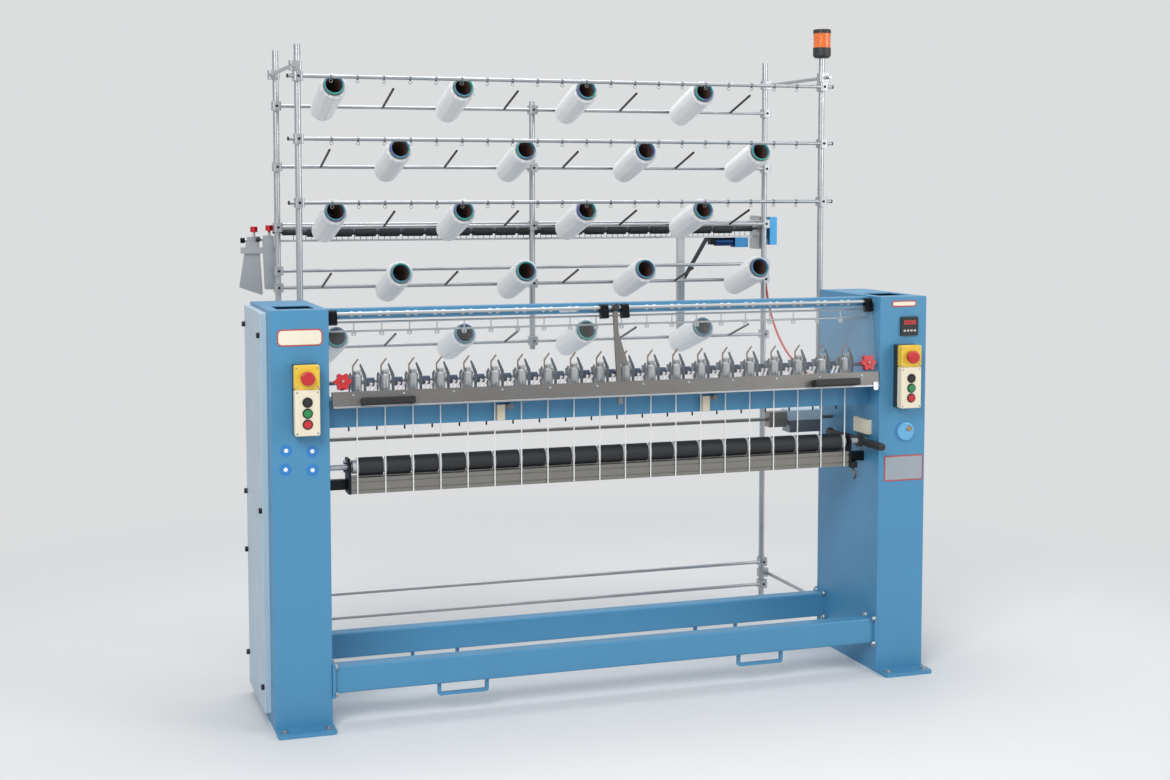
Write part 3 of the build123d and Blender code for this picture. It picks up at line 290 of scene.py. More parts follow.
@dataclass(frozen=True)
class ClearSheet(Finish):
    """Clear acrylic sheet: nearly all light passes, with faint smears and veiled edges."""

    veil: float = 0.10
    glance: float = 0.3

    def paint(self, tree: Tree, place: Socket, shader: Node) -> None:
        """Link the sheet's tint, smears and see-through share to the shader."""
        super().paint(tree, place, shader)
        smear = noise(tree, place, self.mottle, 3.0, (1.0, 1.0, 0.35))
        facing = add_node(tree, "LayerWeight", {"Blend": 0.35}).outputs["Facing"]
        veil = ranged(tree, smear, self.veil * 0.6, self.veil * 1.4)
        lift = calculate(tree, "MULTIPLY", facing, self.glance)
        feed(tree, shader.inputs["Alpha"], calculate(tree, "ADD", veil, lift))


@dataclass(frozen=True)
class WoundYarn(Finish):
    """Yarn wound crosswise on a cone: two sets of helices that pass over each other.

    A real thread is 0.6 mm thick. It is drawn four times as thick so that it shows.
    """

    turns: int = 22
    strands: int = 6

    def paint(self, tree: Tree, place: Socket, shader: Node) -> None:
        """Draw bands that climb to the left and to the right by the surface's own map, with painted
        shade in the valleys between them.
        """
        axes = add_node(tree, "SeparateXYZ", {0: add_node(tree, "UVMap").outputs[0]}).outputs
        waves = []
        for sign in (1, -1):
            around = calculate(tree, "MULTIPLY", axes[0], sign * self.strands * FULL_TURN)
            climb = calculate(tree, "MULTIPLY", axes[1], self.turns * 2 * FULL_TURN)
            waves.append(calculate(tree, "SINE", calculate(tree, "ADD", around, climb)))
        top = calculate(tree, "MAXIMUM", *waves)
        height = add_node(tree, "MapRange", {"From Min": -1.0, "Value": top}).outputs[0]
        # Painted shade: where the strands dip, the colour goes to the darker second white, and the
        # crests keep the first.
        colour = blend(tree, height, self.second, self.colour)
        self.finish_up(tree, shader, colour, noise(tree, place, self.grain), height)


@dataclass(frozen=True)
class Glow(Finish):
    """A lit face, such as the segments of a counter."""

    strength: float = 1.5

    def paint(self, tree: Tree, place: Socket, shader: Node) -> None:
        """Paint the face as any other and add its own light."""
        super().paint(tree, place, shader)
        feed(tree, shader.inputs["Emission Color"], self.colour)
        feed(tree, shader.inputs["Emission Strength"], self.strength)


# Powder coat on sheet steel, baked: satin with a fine orange peel
COAT = {"roughness": 0.42, "grain": 2.5, "grain_depth": 0.03}
BLUE = Finish("powder_coat_blue", "4B8DB5", "4788B0", **COAT)
PALE = Finish("powder_coat_pale", "B3C6D2", "A9BECC", **{**COAT, "roughness": 0.45})
# Steel: plated tube is blotchy, and turned and ground pieces carry the tool's fine lines
TUBE = Finish("plated_tube", "B9BCBF", "A2A6AA", 0.36, metallic=1.0, grain=3, mottle=60)
TURNED_LINES = {"metallic": 1.0, "grain": 1.2, "grain_stretch": (0.2, 0.2, 4)}
GROUND_LINES = {"metallic": 1.0, "grain": 2, "grain_stretch": (0.1, 1, 1)}
TURNED = Finish("turned_steel", "D3D5D6", "B9BCBE", 0.3, **TURNED_LINES)
DARK_STEEL = Finish("blued_steel", "3B3E43", "2B2D31", 0.4, metallic=1.0)
WIRE = Finish("bright_wire", "8A8E92", "787C80", 0.35, metallic=1.0, grain=2)
# Copper alloys
BRASS = Finish("turned_brass", "B99A6A", "A98957", 0.35, metallic=1.0, grain=1.2)
BRONZE = Finish("spring_bronze", "8A6A52", "75584A", 0.4, metallic=1.0)
# Moulded plastics: even colour and a fine spark-eroded grain, or gloss with a clear coat
MOULDED = {"roughness": 0.5, "grain": 1.2, "grain_depth": 0.05}
BLACK = Finish("moulded_black", "1C1D1F", "26282A", **MOULDED)
GRIP = Finish("moulded_grip", "0D0D0F", "141416", **MOULDED)
RED = Finish("moulded_red", "C8232C", "B71E27", 0.3, coat=0.3, grain=6, grain_depth=0.01)
GREEN = Finish("moulded_green", "1F8A4C", "1A7D44", 0.3, coat=0.3, grain=6)
GLOSS_BLACK = Finish("moulded_gloss_black", "17181A", "202224", 0.25, coat=0.3, grain=6)
KEY_GREY = Finish("moulded_grey_key", "C9CCCE", "BEC1C4", grain=2)
AMBER = Finish("beacon_amber", "E4691C", "F07A28", 0.2, coat=0.5, grain=8, mottle=20)
LED_RED = Glow("counter_figure", "E03030", "D82A2A", 0.4)
CABLE = Finish("extruded_red", "C23A3C", "B53234", grain=2, coat=0.2)
PANE = ClearSheet(
    "clear_acrylic", "E6EDEE", "DCE6E8", 0.08, 0.03, ior=1.49, mottle=160, grain=40, grain_depth=0.0,
    veil=0.035,
)
RUBBER = Finish("ground_rubber", "1B1D20", "2A2C30", 0.7, grain_depth=0.08)
CERAMIC = Finish("glazed_ceramic", "F1E9EA", "E4DCE2", 0.15, coat=0.6, grain=8)
# Enamel and print on the bare badges, labels, plates and signs
CREAM = Finish("cream_enamel", "EFE6D2", "E8DFCA", 0.35, grain=4)
BADGE_RED = Finish("badge_red", "B9504E", "AE4745", 0.35, grain=4)
PLATE_GREY = Finish("etched_plate", "A9B0B8", "9DA5AE", 0.4, metallic=0.6, grain=2)
SIGN_BLUE = Finish("sign_blue", "2F7FC4", "2A78BB", 0.4, grain=4)
SIGN_PALE = Finish("sign_pale", "E9EEF2", "DFE5EA", 0.4, grain=4)
CAP_BLUE = Finish("painted_cap", "6DB2DC", "65A9D4", 0.35, grain=3)
# Paper tubes, whose printed band runs from green to violet round the mouth, and yarn
CARDBOARD = Finish("wound_paper_tube", "6E4C42", "5C4038", 0.8, grain=3, grain_stretch=(1, 3, 3))
RIM = Finish("printed_band", "27A386", "54479A", 0.6, grain=45, grain_depth=0.01, mottle=55)
# The yarn's second, greyer white is painted shade in the valleys between the wound strands.
YARN = WoundYarn("wound_white_yarn", "F0F0EF", "D9DADD", 0.85, grain=3, grain_depth=0.5, sheen=0.2)
CORD = Finish("knitted_cord", "F2F1EE", "DEDCDA", 0.85, grain=1, grain_depth=0.1, sheen=0.2)
# Nodes of several materials: one finish whose zones follow the real pieces
ALUMINIUM_LINES = {"metallic": 1.0, "grain": 2, "grain_stretch": (0.04, 1, 1)}
HEAD_STEEL = Finish(
    "head_steel", "C9CBCD", "B0B3B6", 0.3, **TURNED_LINES,
    zones=(Zone("59616C", y=(-391.4, -300), metallic=1.0),),
)
SHAFT = Finish(
    "shaft_steel", "7C828A", "6C727B", 0.35, **GROUND_LINES,
    zones=(Repeat("22304F", 0, 30), *both_ends("777D85", (790, 950), metallic=1.0)),
)
ROLLER = Finish(
    "roller_rubber", "15171A", "202327", 0.62, grain_depth=0.08,
    zones=(Repeat("C4C6C8", PITCH / 2, 9.6), *both_ends("C4C6C8", (781, 900), metallic=1.0)),
)
TABLE = Finish(
    "table_aluminium", "918F8B", "82807C", 0.42, **ALUMINIUM_LINES,
    zones=(
        *both_ends("2B2D31", (801.8, 900), y=(-450, -300), metallic=1.0),
        Zone("8A9096", x=(703, 817), y=(-172, -113), z=(740, 782), metallic=1.0),
        Zone("CFE0EA", x=(700, 820), y=(-176, -110), z=(781.9, 817)),
    ),
)
GUARD_FRAME = Finish(
    "guard_aluminium", "807E7B", "72706E", **ALUMINIUM_LINES,
    zones=(
        *both_ends("202124", (842, 900), z=(1150, 1260)),
        *both_ends("202124", (20.8, 45.2), z=(1150, 1260)),
        Zone("202124", x=(-10.2, 10.2), y=(-480, -429.6), z=(1178, 1260)),
    ),
)
CROSS_RODS = Finish(
    "cross_rods", "B4B6B8", "A0A2A5", 0.3, **GROUND_LINES,
    zones=(
        Zone("77716E", y=(-400, -300), metallic=1.0),
        Zone("4B4744", y=(-400, -300), z=(1100, 1130.9), metallic=1.0),
    ),
)
KNIT_BEAM = Finish(
    "knitting_beam_coat", "4A8BB3", "4686AD", **COAT,
    zones=(
        Zone("DDD3BA", y=(-410, -393.6), z=(855, 907)),
        Zone("7C7F83", x=(-339.6, -300), y=(-410, -393.6), z=(855, 920), metallic=1.0),
        Zone("7C7F83", x=(318.9, 360), y=(-410, -393.6), z=(855, 920), metallic=1.0),
        Zone("26282C", z=(840, 856.8), metallic=1.0),
    ),
)
FINGERS = Finish(
    "finger_enamel", "2B3240", "353D4B", 0.4, zones=(Repeat("86705F", PITCH / 2 - 3.5, 19.6),)
)
BOXES = Finish(
    "box_plastic", "E9E0C8", "E2D9C0", **{**MOULDED, "roughness": 0.4},
    zones=(
        Zone("E8C23A", z=(985.7, 1060)),
        Zone("2A2D31", y=(-495.7, -460)),
        Zone("1C1D20", z=(1070, 1150)),
    ),
)
FEED_ROLLER = Finish(
    "feed_rubber", "1F2124", "2E3135", 0.6, zones=(Repeat("55585C", PITCH / 2, 14.5),)
)
FEED_FRAME = Finish(
    "feed_aluminium", "BCBFC1", "ABAEB1", 0.4, **ALUMINIUM_LINES,
    zones=(
        Zone("4C93C1", x=(916.4, 950)),
        Zone("1F2023", x=(688, 712.1), z=(1330, 1367.9)),
        Zone("24406B", x=(712.1, 784.1), z=(1330, 1367.9)),
        Zone("3F7CAB", x=(784.1, 837), z=(1330, 1367.9)),
        Zone("3B3E43", x=(591.6, 688), y=(489, 498), z=(1200, 1367.9), metallic=1.0),
        Zone("C2323A", x=(-1010, -885), z=(1400, 1430)),
        Zone("1F2023", x=(-1010, -982.8), z=(1362, 1384.5)),
        Zone("1F2023", x=(-950.2, -935.8), y=(465, 486), z=(1367, 1389.5)),
    ),
)


@dataclass
class Shape:
    """Points in millimetres and faces of a closed surface that can be repeated and placed."""

    points: np.ndarray
    faces: np.ndarray
    corner_map: np.ndarray | None = None

    def placed(self, places: Sequence, turn: np.ndarray | None = None) -> "Shape":
        """Repeat the shape: each point is turned, then moved to every place.

        Args:
            places: One place, or rows of them.
            turn: A 3 by 3 matrix whose columns are the shape's own axes.

        Returns:
            One shape with all the copies.
        """
        places = np.atleast_2d(np.asarray(places, float))
        base = self.points if turn is None else self.points @ turn.T
        points = (places[:, None, :] + base[None]).reshape(-1, 3)
        steps = np.arange(len(places))[:, None, None] * len(base)
        faces = (steps + self.faces[None]).reshape(-1, self.faces.shape[1])
        corner_map = None
        if self.corner_map is not None:
            corner_map = np.tile(self.corner_map, (len(places), 1))
        return Shape(points, faces, corner_map)


def joined(shapes: Sequence[Shape]) -> Shape:
    """Join shapes into one, keeping each of them closed."""
    sizes = np.cumsum([0] + [len(shape.points) for shape in shapes])
    points = np.concatenate([shape.points for shape in shapes])
    faces = np.concatenate([shape.faces + start for shape, start in zip(shapes, sizes)])
    return Shape(points, faces)


def wrapped(rings: np.ndarray) -> Shape:
    """Cover closed rings with faces: ring i and ring i + 1 share a row of four-sided faces.

    Args:
        rings: An array of rings, each a row of points in order, all as long as each other.

    Returns:
        The covered shape with a map that runs once round and once along.
    """
    count, sides = rings.shape[:2]
    row = np.arange(count - 1)[:, None]
    here = np.arange(sides)[None]
    low, onward = row * sides, (here + 1) % sides
    faces = np.stack([low + here, low + onward, low + sides + onward, low + sides + here], -1)
    u, v = np.broadcast_arrays(here / sides, row / (count - 1))
    u_next, v_next = u + 1 / sides, v + 1 / (count - 1)
    corner_map = np.stack([u, v, u_next, v, u_next, v_next, u, v_next], -1).reshape(-1, 2)
    return Shape(rings.reshape(-1, 3), faces.reshape(-1, 4), corner_map)


def around(sides: int) -> np.ndarray:
    """Give the angles of a circle's steps."""
    return np.arange(sides) / sides * FULL_TURN


def rows(x: object, y: object, z: object) -> np.ndarray:
    """Give rows of places, where each of x, y and z is one number or an array of them."""
    return np.stack(np.broadcast_arrays(x, y, z), -1).astype(float)


def grid(xs: Sequence, y: float, zs: Sequence) -> list[Triple]:
    """Give a place at every x and every z, all at one y."""
    return [(x, y, z) for x in xs for z in zs]


def pair(offset: float, middle: float = 0.0) -> Span:
    """Give the two places at an offset to the left and to the right of a middle."""
    return middle - offset, middle + offset


def turned(profile: Sequence[Span], sides: int = 20) -> Shape:
    """Turn a profile about Z: the point (r, z) becomes (r cos a, r sin a, z) for each angle a.

    Args:
        profile: Radii and heights from the bottom's centre to the top's centre, or a closed loop.
        sides: The number of steps round.

    Returns:
        The turned shape.
    """
    radius, height = np.hsplit(np.asarray(profile, float), 2)
    angle = around(sides)
    return wrapped(rows(radius * np.cos(angle), radius * np.sin(angle), height))


def disc(radius: float, height: float, sides: int) -> Shape:
    """Make a flat round disc that stands on Z = 0."""
    return turned([(0, 0), (radius, 0), (radius, height), (0, height)], sides)


def rounded_block(
    width: float, length: float, height: float, corner: float, edge: float, steps: int = 3
) -> Shape:
    """Make a block with rounded upright corners and softened edges, standing on Z = 0.

    Each ring is a rectangle with quarter-circle corners, drawn in by an inset for its level.

    Args:
        width, length, height: Sizes along X, Y and Z.
        corner: Radius of the upright corners.
        edge: Size of the softened edges.
        steps: Steps in each quarter circle.

    Returns:
        The block.
    """
    quarter = np.linspace(0, math.pi / 2, steps + 1)
    angle = np.concatenate([quarter + i * math.pi / 2 for i in range(4)])
    sign_x = np.repeat([1, -1, -1, 1], steps + 1)
    sign_y = np.repeat([1, 1, -1, -1], steps + 1)
    rings = [rows(0 * angle, 0, 0)]
    for inset, level in ((edge, 0), (0, edge), (0, height - edge), (edge, height)):
        r = max(corner - inset, 0.05 * corner)
        x = sign_x * (width / 2 - inset - r) + r * np.cos(angle)
        y = sign_y * (length / 2 - inset - r) + r * np.sin(angle)
        rings.append(rows(x, y, level))
    rings.append(rows(0 * angle, 0, height))
    return wrapped(np.array(rings))


def swept(path: np.ndarray, radius: float, sides: int) -> Shape:
    """Sweep a circle along a path: each ring stands square to the path's direction there.

    The ring starts from a direction that the path never runs in.

    Args:
        path: Points, one row each.
        radius: The tube's radius.
        sides: Steps round the tube.

    Returns:
        The closed tube.
    """
    ahead = np.gradient(path, axis=0)
    ahead /= np.linalg.norm(ahead, axis=1, keepdims=True)
    lengthwise = abs(ahead[:, 0]).mean() > 0.5
    across = np.cross(ahead, [0.0123, 0.9871, 0.1597] if lengthwise else [0.991, 0.0313, 0.1301])
    across /= np.linalg.norm(across, axis=1, keepdims=True)
    up = np.cross(ahead, across)
    angle = around(sides)[:, None]
    rings = path[:, None] + radius * (across[:, None] * np.cos(angle) + up[:, None] * np.sin(angle))
    return closed(rings, path[0], path[-1])


def closed(rings: np.ndarray, first: Sequence, last: Sequence) -> Shape:
    """Cover rings with faces and close both ends at a point in their middle."""
    ends = np.repeat(np.array([first, last], float)[:, None], rings.shape[1], axis=1)
    return wrapped(np.concatenate([ends[:1], rings, ends[1:]]))


WASHER = 1.5
"""The thickness of the washers under the bolts."""


def hexagon_bolt(across: float, height: float) -> Shape:
    """Make a hexagon head on a washer: a six-sided turned profile on a round one."""
    radius, top = across / math.sqrt(3), WASHER + height
    sides = [(radius, WASHER), (radius, WASHER + height * 0.85), (radius * 0.85, top)]
    return joined([disc(across * 0.85, WASHER, 18), turned([(0, WASHER), *sides, (0, top)], 6)])


def socket_screw(radius: float, height: float) -> Shape:
    """Make a button-head screw with a round socket: a dome whose middle dips."""
    shares = [(0, 0), (1, 0), (0.95, 0.45), (0.7, 0.9), (0.45, 1), (0.42, 0.45), (0, 0.4)]
    return turned(np.array(shares) * (radius, height), 14)


FACE_FRONT = np.array([[1, 0, 0], [0, 0, -1], [0, 1, 0]], float)
"""Turns a shape that stands on Z = 0 so that its top faces the operator."""

FACE_SIDE = {
    Side.LEFT: np.array([[0, 0, -1], [-1, 0, 0], [0, 1, 0]], float),
    Side.RIGHT: np.array([[0, 0, 1], [1, 0, 0], [0, 1, 0]], float),
}
"""Turns a shape so that its top faces away from the machine's middle."""


def leaning(angle: float) -> np.ndarray:
    """Give the matrix that turns a shape's top to the operator and lifts it by an angle."""
    c, s = math.cos(angle), math.sin(angle)
    return np.array([[1, 0, 0], [0, s, -c], [0, c, s]])


def surface(name: str, shape: Shape, finish: Finish, smooth: bool = False) -> Object:
    """Put a shape into a mesh object.

    Args:
        name: The piece's name.
        shape: Its points and faces, in millimetres.
        finish: The piece's finish.
        smooth: True for a surface that is round all over.

    Returns:
        The new object in metres, with its normals pointing outwards.
    """
    mesh = bpy.data.meshes.new(name)
    mesh.from_pydata((shape.points * MM).tolist(), [], shape.faces.tolist())
    if shape.corner_map is not None:
        layer = mesh.uv_layers.new(name="UVMap")
        layer.data.foreach_set("uv", shape.corner_map.astype(np.float32).ravel())
    work = bmesh.new()
    work.from_mesh(mesh)
    bmesh.ops.remove_doubles(work, verts=work.verts, dist=1e-6)
    bmesh.ops.recalc_face_normals(work, faces=work.faces)
    work.to_mesh(mesh)
    work.free()
    if smooth:
        mesh.polygons.foreach_set("use_smooth", np.ones(len(mesh.polygons), bool))
    mesh.materials.append(finish.material())
    return linked(name, mesh)


def linked(name: str, data: bpy.types.ID) -> Object:
    """Make an object of a mesh, curve, lamp or camera and put it in the scene."""
    made = bpy.data.objects.new(name, data)
    bpy.context.scene.collection.objects.link(made)
    return made


def add_piece(
    name: str,
    shape: Shape,
    places: Sequence,
    finish: Finish,
    turn: np.ndarray | None = None,
    body: str = MACHINE,
    smooth: bool = False,
) -> Object:
    """Repeat a shape at places, as one piece that rides on a body.

    Args:
        name: The piece's name.
        shape: The shape.
        places: One place, or rows of them.
        finish: The piece's finish.
        turn: A matrix that turns the shape before it is moved.
        body: The body that carries the piece.
        smooth: True for a round surface.

    Returns:
        The piece.
    """
    shape = shape.placed(places, turn)
    piece = surface(name, shape, finish, smooth)
    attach(piece, body)
    LOG.info("%s: %d faces on %s", name, len(shape.faces), body)
    return piece


def dress(finish: Finish, *nodes: str) -> None:
    """Give frame nodes a finish.

    Args:
        finish: The finish.
        nodes: The nodes' names.
    """
    for node in nodes:
        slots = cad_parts[node].data.materials
        slots.clear()
        slots.append(finish.material())
        LOG.info("%s dressed in %s", node, finish.name)


@dataclass(frozen=True)
class Lamp:
    """A soft area lamp: its place and target in metres, its face's side and its power in watts."""

    name: str
    place: Triple
    target: Triple
    size: float
    power: float

    def hang(self) -> None:
        """Hang the lamp so that it faces its target."""
        data = bpy.data.lights.new(self.name, "AREA")
        data.size = self.size
        data.energy = self.power
        lamp = linked(self.name, data)
        lamp.location = self.place
        aim = Vector(self.target) - Vector(self.place)
        lamp.rotation_euler = aim.to_track_quat("-Z", "Y").to_euler()


@dataclass
class Studio:
    """Pale floor, soft lights and the camera of the photograph, in metres, degrees and lens mm."""

    eye: Triple = (-1.696, -5.210, 1.547)
    turn: float = 18.5
    pitch: float = 4.2
    lens: float = 51.94
    sensor: float = 36.0
    shift: float = -0.0664
    floor_half: float = 40.0
    fade: Span = (1.3, 3.4)
    wall: str = "DCDDDE"
    sky: str = "E8ECF0"
    sky_strength: float = 0.42
    lamps: tuple[Lamp, ...] = (
        Lamp("key", (-3.2, -4.6, 4.2), (0.0, 0.0, 0.9), 3.0, 225.0),
        Lamp("fill", (4.2, -3.6, 2.6), (0.2, 0.0, 0.8), 3.0, 100.0),
        Lamp("top", (0.2, 0.8, 5.2), (0.0, 0.0, 0.6), 3.6, 150.0),
    )

    def build(self) -> None:
        """Make the floor, the world, the lamps and the camera."""
        self.floor()
        self.world()
        for lamp in self.lamps:
            lamp.hang()
        self.camera()

    def floor(self) -> None:
        """Lay a flat pale floor that holds the shadow and fades into the wall further out.

        The share of the wall's own light is an eased ramp of the distance from the machine.
        """
        half = self.floor_half / MM
        corners = np.array([(-half, -half, 0), (half, -half, 0), (half, half, 0), (-half, half, 0)])
        finish = Finish("studio_floor", "E0E1E2", "DCDDDE", 0.8, grain=4, mottle=900)
        plane = surface("studio_floor", Shape(corners, np.array([(0, 1, 2, 3)])), finish)
        tree = finish.material().node_tree
        place = add_node(tree, "TexCoord").outputs["Object"]
        settings = {"operation": "MULTIPLY", 0: place, 1: (1.0, 1.0, 0.0)}
        flat = add_node(tree, "VectorMath", settings).outputs[0]
        far = add_node(tree, "VectorMath", {"operation": "LENGTH", 0: flat}).outputs["Value"]
        near_edge, far_edge = self.fade
        settings = {"interpolation_type": "SMOOTHSTEP", "From Min": near_edge, "From Max": far_edge}
        share = add_node(tree, "MapRange", {**settings, "Value": far}).outputs[0]
        light = add_node(tree, "Emission", {"Color": self.wall, "Strength": 1.0}).outputs[0]
        out = next(node for node in tree.nodes if node.bl_idname == "ShaderNodeOutputMaterial")
        paint = out.inputs[0].links[0].from_socket
        mix = add_node(tree, "MixShader", {0: share, 1: paint, 2: light}).outputs[0]
        feed(tree, out.inputs[0], mix)

    def world(self) -> None:
        """Light everything evenly, and show a pale wall behind the machine."""
        world = bpy.data.worlds.new("studio")
        bpy.context.scene.world = world
        world.use_nodes = True
        tree = world.node_tree
        tree.nodes.clear()
        rays = add_node(tree, "LightPath").outputs
        seen = calculate(tree, "MAXIMUM", rays["Is Camera Ray"], rays["Is Glossy Ray"])
        seen = calculate(tree, "MAXIMUM", seen, rays["Is Transmission Ray"])
        settings = {"Color": self.sky, "Strength": self.sky_strength}
        light = add_node(tree, "Background", settings).outputs[0]
        wall = add_node(tree, "Background", {"Color": self.wall, "Strength": 1.0}).outputs[0]
        mix = add_node(tree, "MixShader", {0: seen, 1: light, 2: wall}).outputs[0]
        add_node(tree, "OutputWorld", {0: mix})

    def camera(self) -> None:
        """Stand the camera where the photograph was taken from."""
        data = bpy.data.cameras.new("photo_camera")
        data.lens = self.lens
        data.sensor_width = self.sensor
        data.shift_y = self.shift
        data.clip_end = 100.0
        camera = linked("photo_camera", data)
        camera.location = self.eye
        camera.rotation_euler = (math.radians(90 - self.pitch), 0.0, -math.radians(self.turn))
        bpy.context.scene.camera = camera


@dataclass(frozen=True)
class Plate:
    """A bare plate with a red rim: its centre, size, corner radius and the finish of its field."""

    name: str
    centre: Span
    size: Span
    corner: float
    face: Finish
    thickness: float = 1.2
    rim: float = 4.0
    step: float = 0.3

    def fix(self, y: float) -> None:
        """Fix the rim and the field, which stands out a step further, on a face at a given Y."""
        x, z = self.centre
        width, height = self.size
        thickness, inset = self.thickness, 2 * self.rim
        outer = rounded_block(width, height, thickness, self.corner, 0.3, 6)
        inner = (width - inset, height - inset, thickness + self.step, 0.75 * self.corner, 0.2, 6)
        add_piece(f"{self.name}_rim", outer, (x, y, z), BADGE_RED, FACE_FRONT)
        add_piece(f"{self.name}_field", rounded_block(*inner), (x, y, z), self.face, FACE_FRONT)


@dataclass
class Cabinets:
    """The two sheet cabinets with their covers, badges, plates and fixings."""

    front: float = -467.5
    middle: float = 956.0
    plates: tuple[Plate, ...] = (
        Plate("left_badge", (-955.5, 1128), (129, 48), 14, CREAM),
        Plate("right_badge", (957.5, 1182.5), (88, 20), 8, CREAM),
        Plate("rating_plate", (963, 657), (139, 82), 4, PLATE_GREY),
    )
    signs: tuple[Span, ...] = ((-998, 809), (-924, 804), (-1000, 755), (-924, 750))
    foot_bolt: Triple = (62, -512, 12)
    cap_place: Span = (967, 775)
    lock_offset: float = 9.0

    def build(self) -> None:
        """Dress the cabinets and fix everything that sits on their faces."""
        dress(BLUE, "left_cabinet", "right_cabinet")
        dress(PALE, "side_covers")
        dress(DARK_STEEL, "thumb_screws", "gear_motors")
        for plate in self.plates:
            plate.fix(self.front)
        self.stickers()
        self.foot_bolts()
        self.lock()

    def stickers(self) -> None:
        """Stick four round blue signs on the left cabinet, each with a small pale disc."""
        places = [(x, self.front, z) for x, z in self.signs]
        add_piece("blue_signs", disc(17.5, 0.4, 36), places, SIGN_BLUE, FACE_FRONT)
        add_piece("sign_discs", disc(6, 0.6, 24), places, SIGN_PALE, FACE_FRONT)

    def foot_bolts(self) -> None:
        """Screw down each foot plate with two hexagon bolts in front."""
        offset, y, z = self.foot_bolt
        xs = [x for side in Side for x in pair(offset, side.value * self.middle)]
        add_piece("foot_bolts", hexagon_bolt(13, 6), grid(xs, y, [z]), TUBE)

    def lock(self) -> None:
        """Set the round cap with its brass lock, up and right of the middle, on the right cabinet."""
        x, z = self.cap_place
        cap = turned([(0, 0), (30, 0), (30, 6), (28, 9), (24, 10), (23, 8.5), (0, 8.5)], 40)
        add_piece("round_cap", cap, (x, self.front, z), CAP_BLUE, FACE_FRONT)
        lock = turned([(0, 7), (8, 7), (8, 12), (7, 13), (0, 13)], 24)
        x, z = x + self.lock_offset, z + self.lock_offset
        add_piece("cap_lock", lock, (x, self.front, z), BRASS, FACE_FRONT)


@dataclass
class Beams:
    """Lower beams, upper beam and knitting beam with their fixings and eyelets."""

    flange_face: float = 865.5
    lower_ys: Span = (-437.5, -79.5)
    lower_z: float = 135.0
    bolt_reach: Span = (29, 40)
    upper_front: float = -399.5
    label_place: Span = (-141, 1184)
    eyelet_z: float = 1186.0
    eyelet_offset: float = 12.0

    def build(self) -> None:
        """Dress the beams and add the bolts, the bare label and the eyelets' collars."""
        dress(BLUE, "lower_beams", "upper_beam")
        dress(KNIT_BEAM, "knitting_beam")
        dress(CERAMIC, "ceramic_eyelets")
        dress(CROSS_RODS, "cross_rods")
        self.flange_bolts()
        label = rounded_block(54, 16, 0.5, 2, 0.1)
        x, z = self.label_place
        add_piece("beam_label", label, (x, self.upper_front, z), SIGN_PALE, FACE_FRONT)
        self.eyelet_cups()

    def flange_bolts(self) -> None:
        """Bolt each lower beam's end plates to the cabinets with four bolts."""
        reach_y, reach_z = self.bolt_reach
        spots = [
            (y + reach_y * sy, self.lower_z + reach_z * sz)
            for y in self.lower_ys
            for sy in (-1, 1)
            for sz in (-1, 1)
        ]
        for side, inward in ((Side.LEFT, Side.RIGHT), (Side.RIGHT, Side.LEFT)):
            places = [(side.value * self.flange_face, y, z) for y, z in spots]
            add_piece(f"{side.label}_beam_bolts", hexagon_bolt(13, 6), places, TUBE, FACE_SIDE[inward])

    def eyelet_cups(self) -> None:
        """Seat every upper eyelet in a round collar on the beam's face."""
        cup = turned([(5.2, 0), (8, 0), (8, 2), (6.5, 3.2), (5.2, 3.2), (5.2, 0)], 18)
        xs = (HEADS[:, None] + pair(self.eyelet_offset)).ravel()
        places = rows(xs, self.upper_front, self.eyelet_z)
        add_piece("eyelet_collars", cup, places, SIGN_PALE, FACE_FRONT, smooth=True)


@dataclass
class Heads:
    """Twenty knitting heads with needles and gearbox screws, and guides between them."""

    y: float = -407.5
    top: float = 1010.0
    needle_circle: float = 11.2
    needle: float = 0.7
    needles: int = 12
    needle_rise: float = 15.0
    needle_foot: float = -2.0
    guide_lean: float = math.radians(20)
    guide_foot: Triple = (7, -2, 962)
    gearbox_screw: Triple = (10, 30, 1005)

    def build(self) -> None:
        """Dress the heads and add what stands on them."""
        dress(HEAD_STEEL, "knitting_heads")
        dress(TURNED, *(f"head_rotor_{number:02d}" for number in range(1, len(HEADS) + 1)))
        dress(SHAFT, "line_shaft")
        dress(FINGERS, "yarn_fingers")
        self.needle_rings()
        self.yarn_guides()
        self.gearbox_screws()

    def needle_rings(self) -> None:
        """Stand a ring of latch needles round each rotor's mouth."""
        r, low, tip = self.needle, self.needle_foot, self.needle_rise
        needle = turned([(0, low), (r, low), (r, tip - 1), (r * 0.5, tip), (0, tip)], 5)
        angle = around(self.needles)
        circle = rows(np.cos(angle), np.sin(angle), 0) * self.needle_circle
        places = (rows(HEADS, self.y, self.top)[:, None] + circle[None]).reshape(-1, 3)
        add_piece("latch_needles", needle, places, TURNED, smooth=True)

    def yarn_guides(self) -> None:
        """Top the ceramic eyelets between the heads with pairs of bell mouths that lean right."""
        c, s = math.cos(self.guide_lean), math.sin(self.guide_lean)
        lean = np.array([[c, 0, s], [0, 1, 0], [-s, 0, c]])
        radii = [0, 4.2, 3.4, 3.2, 3.8, 5.2, 5.6, 4.6, 3.0, 0]
        heights = [-3, -3, 3, 14, 20, 23.5, 24.6, 25, 23, 22.5]
        offset, back, z = self.guide_foot
        gaps = HEADS[:-1] + PITCH / 2
        places = np.concatenate([rows(gaps + x, self.y + back, z) for x in pair(offset)])
        guide = turned(list(zip(radii, heights)), 16)
        add_piece("leaning_guides", guide, places, CERAMIC, lean, smooth=True)

    def gearbox_screws(self) -> None:
        """Close each gearbox with two screws on its top."""
        offset, back, z = self.gearbox_screw
        places = np.concatenate([rows(HEADS + x, self.y + back, z) for x in pair(offset)])
        add_piece("gearbox_screws", socket_screw(3.2, 2.6), places, DARK_STEEL)


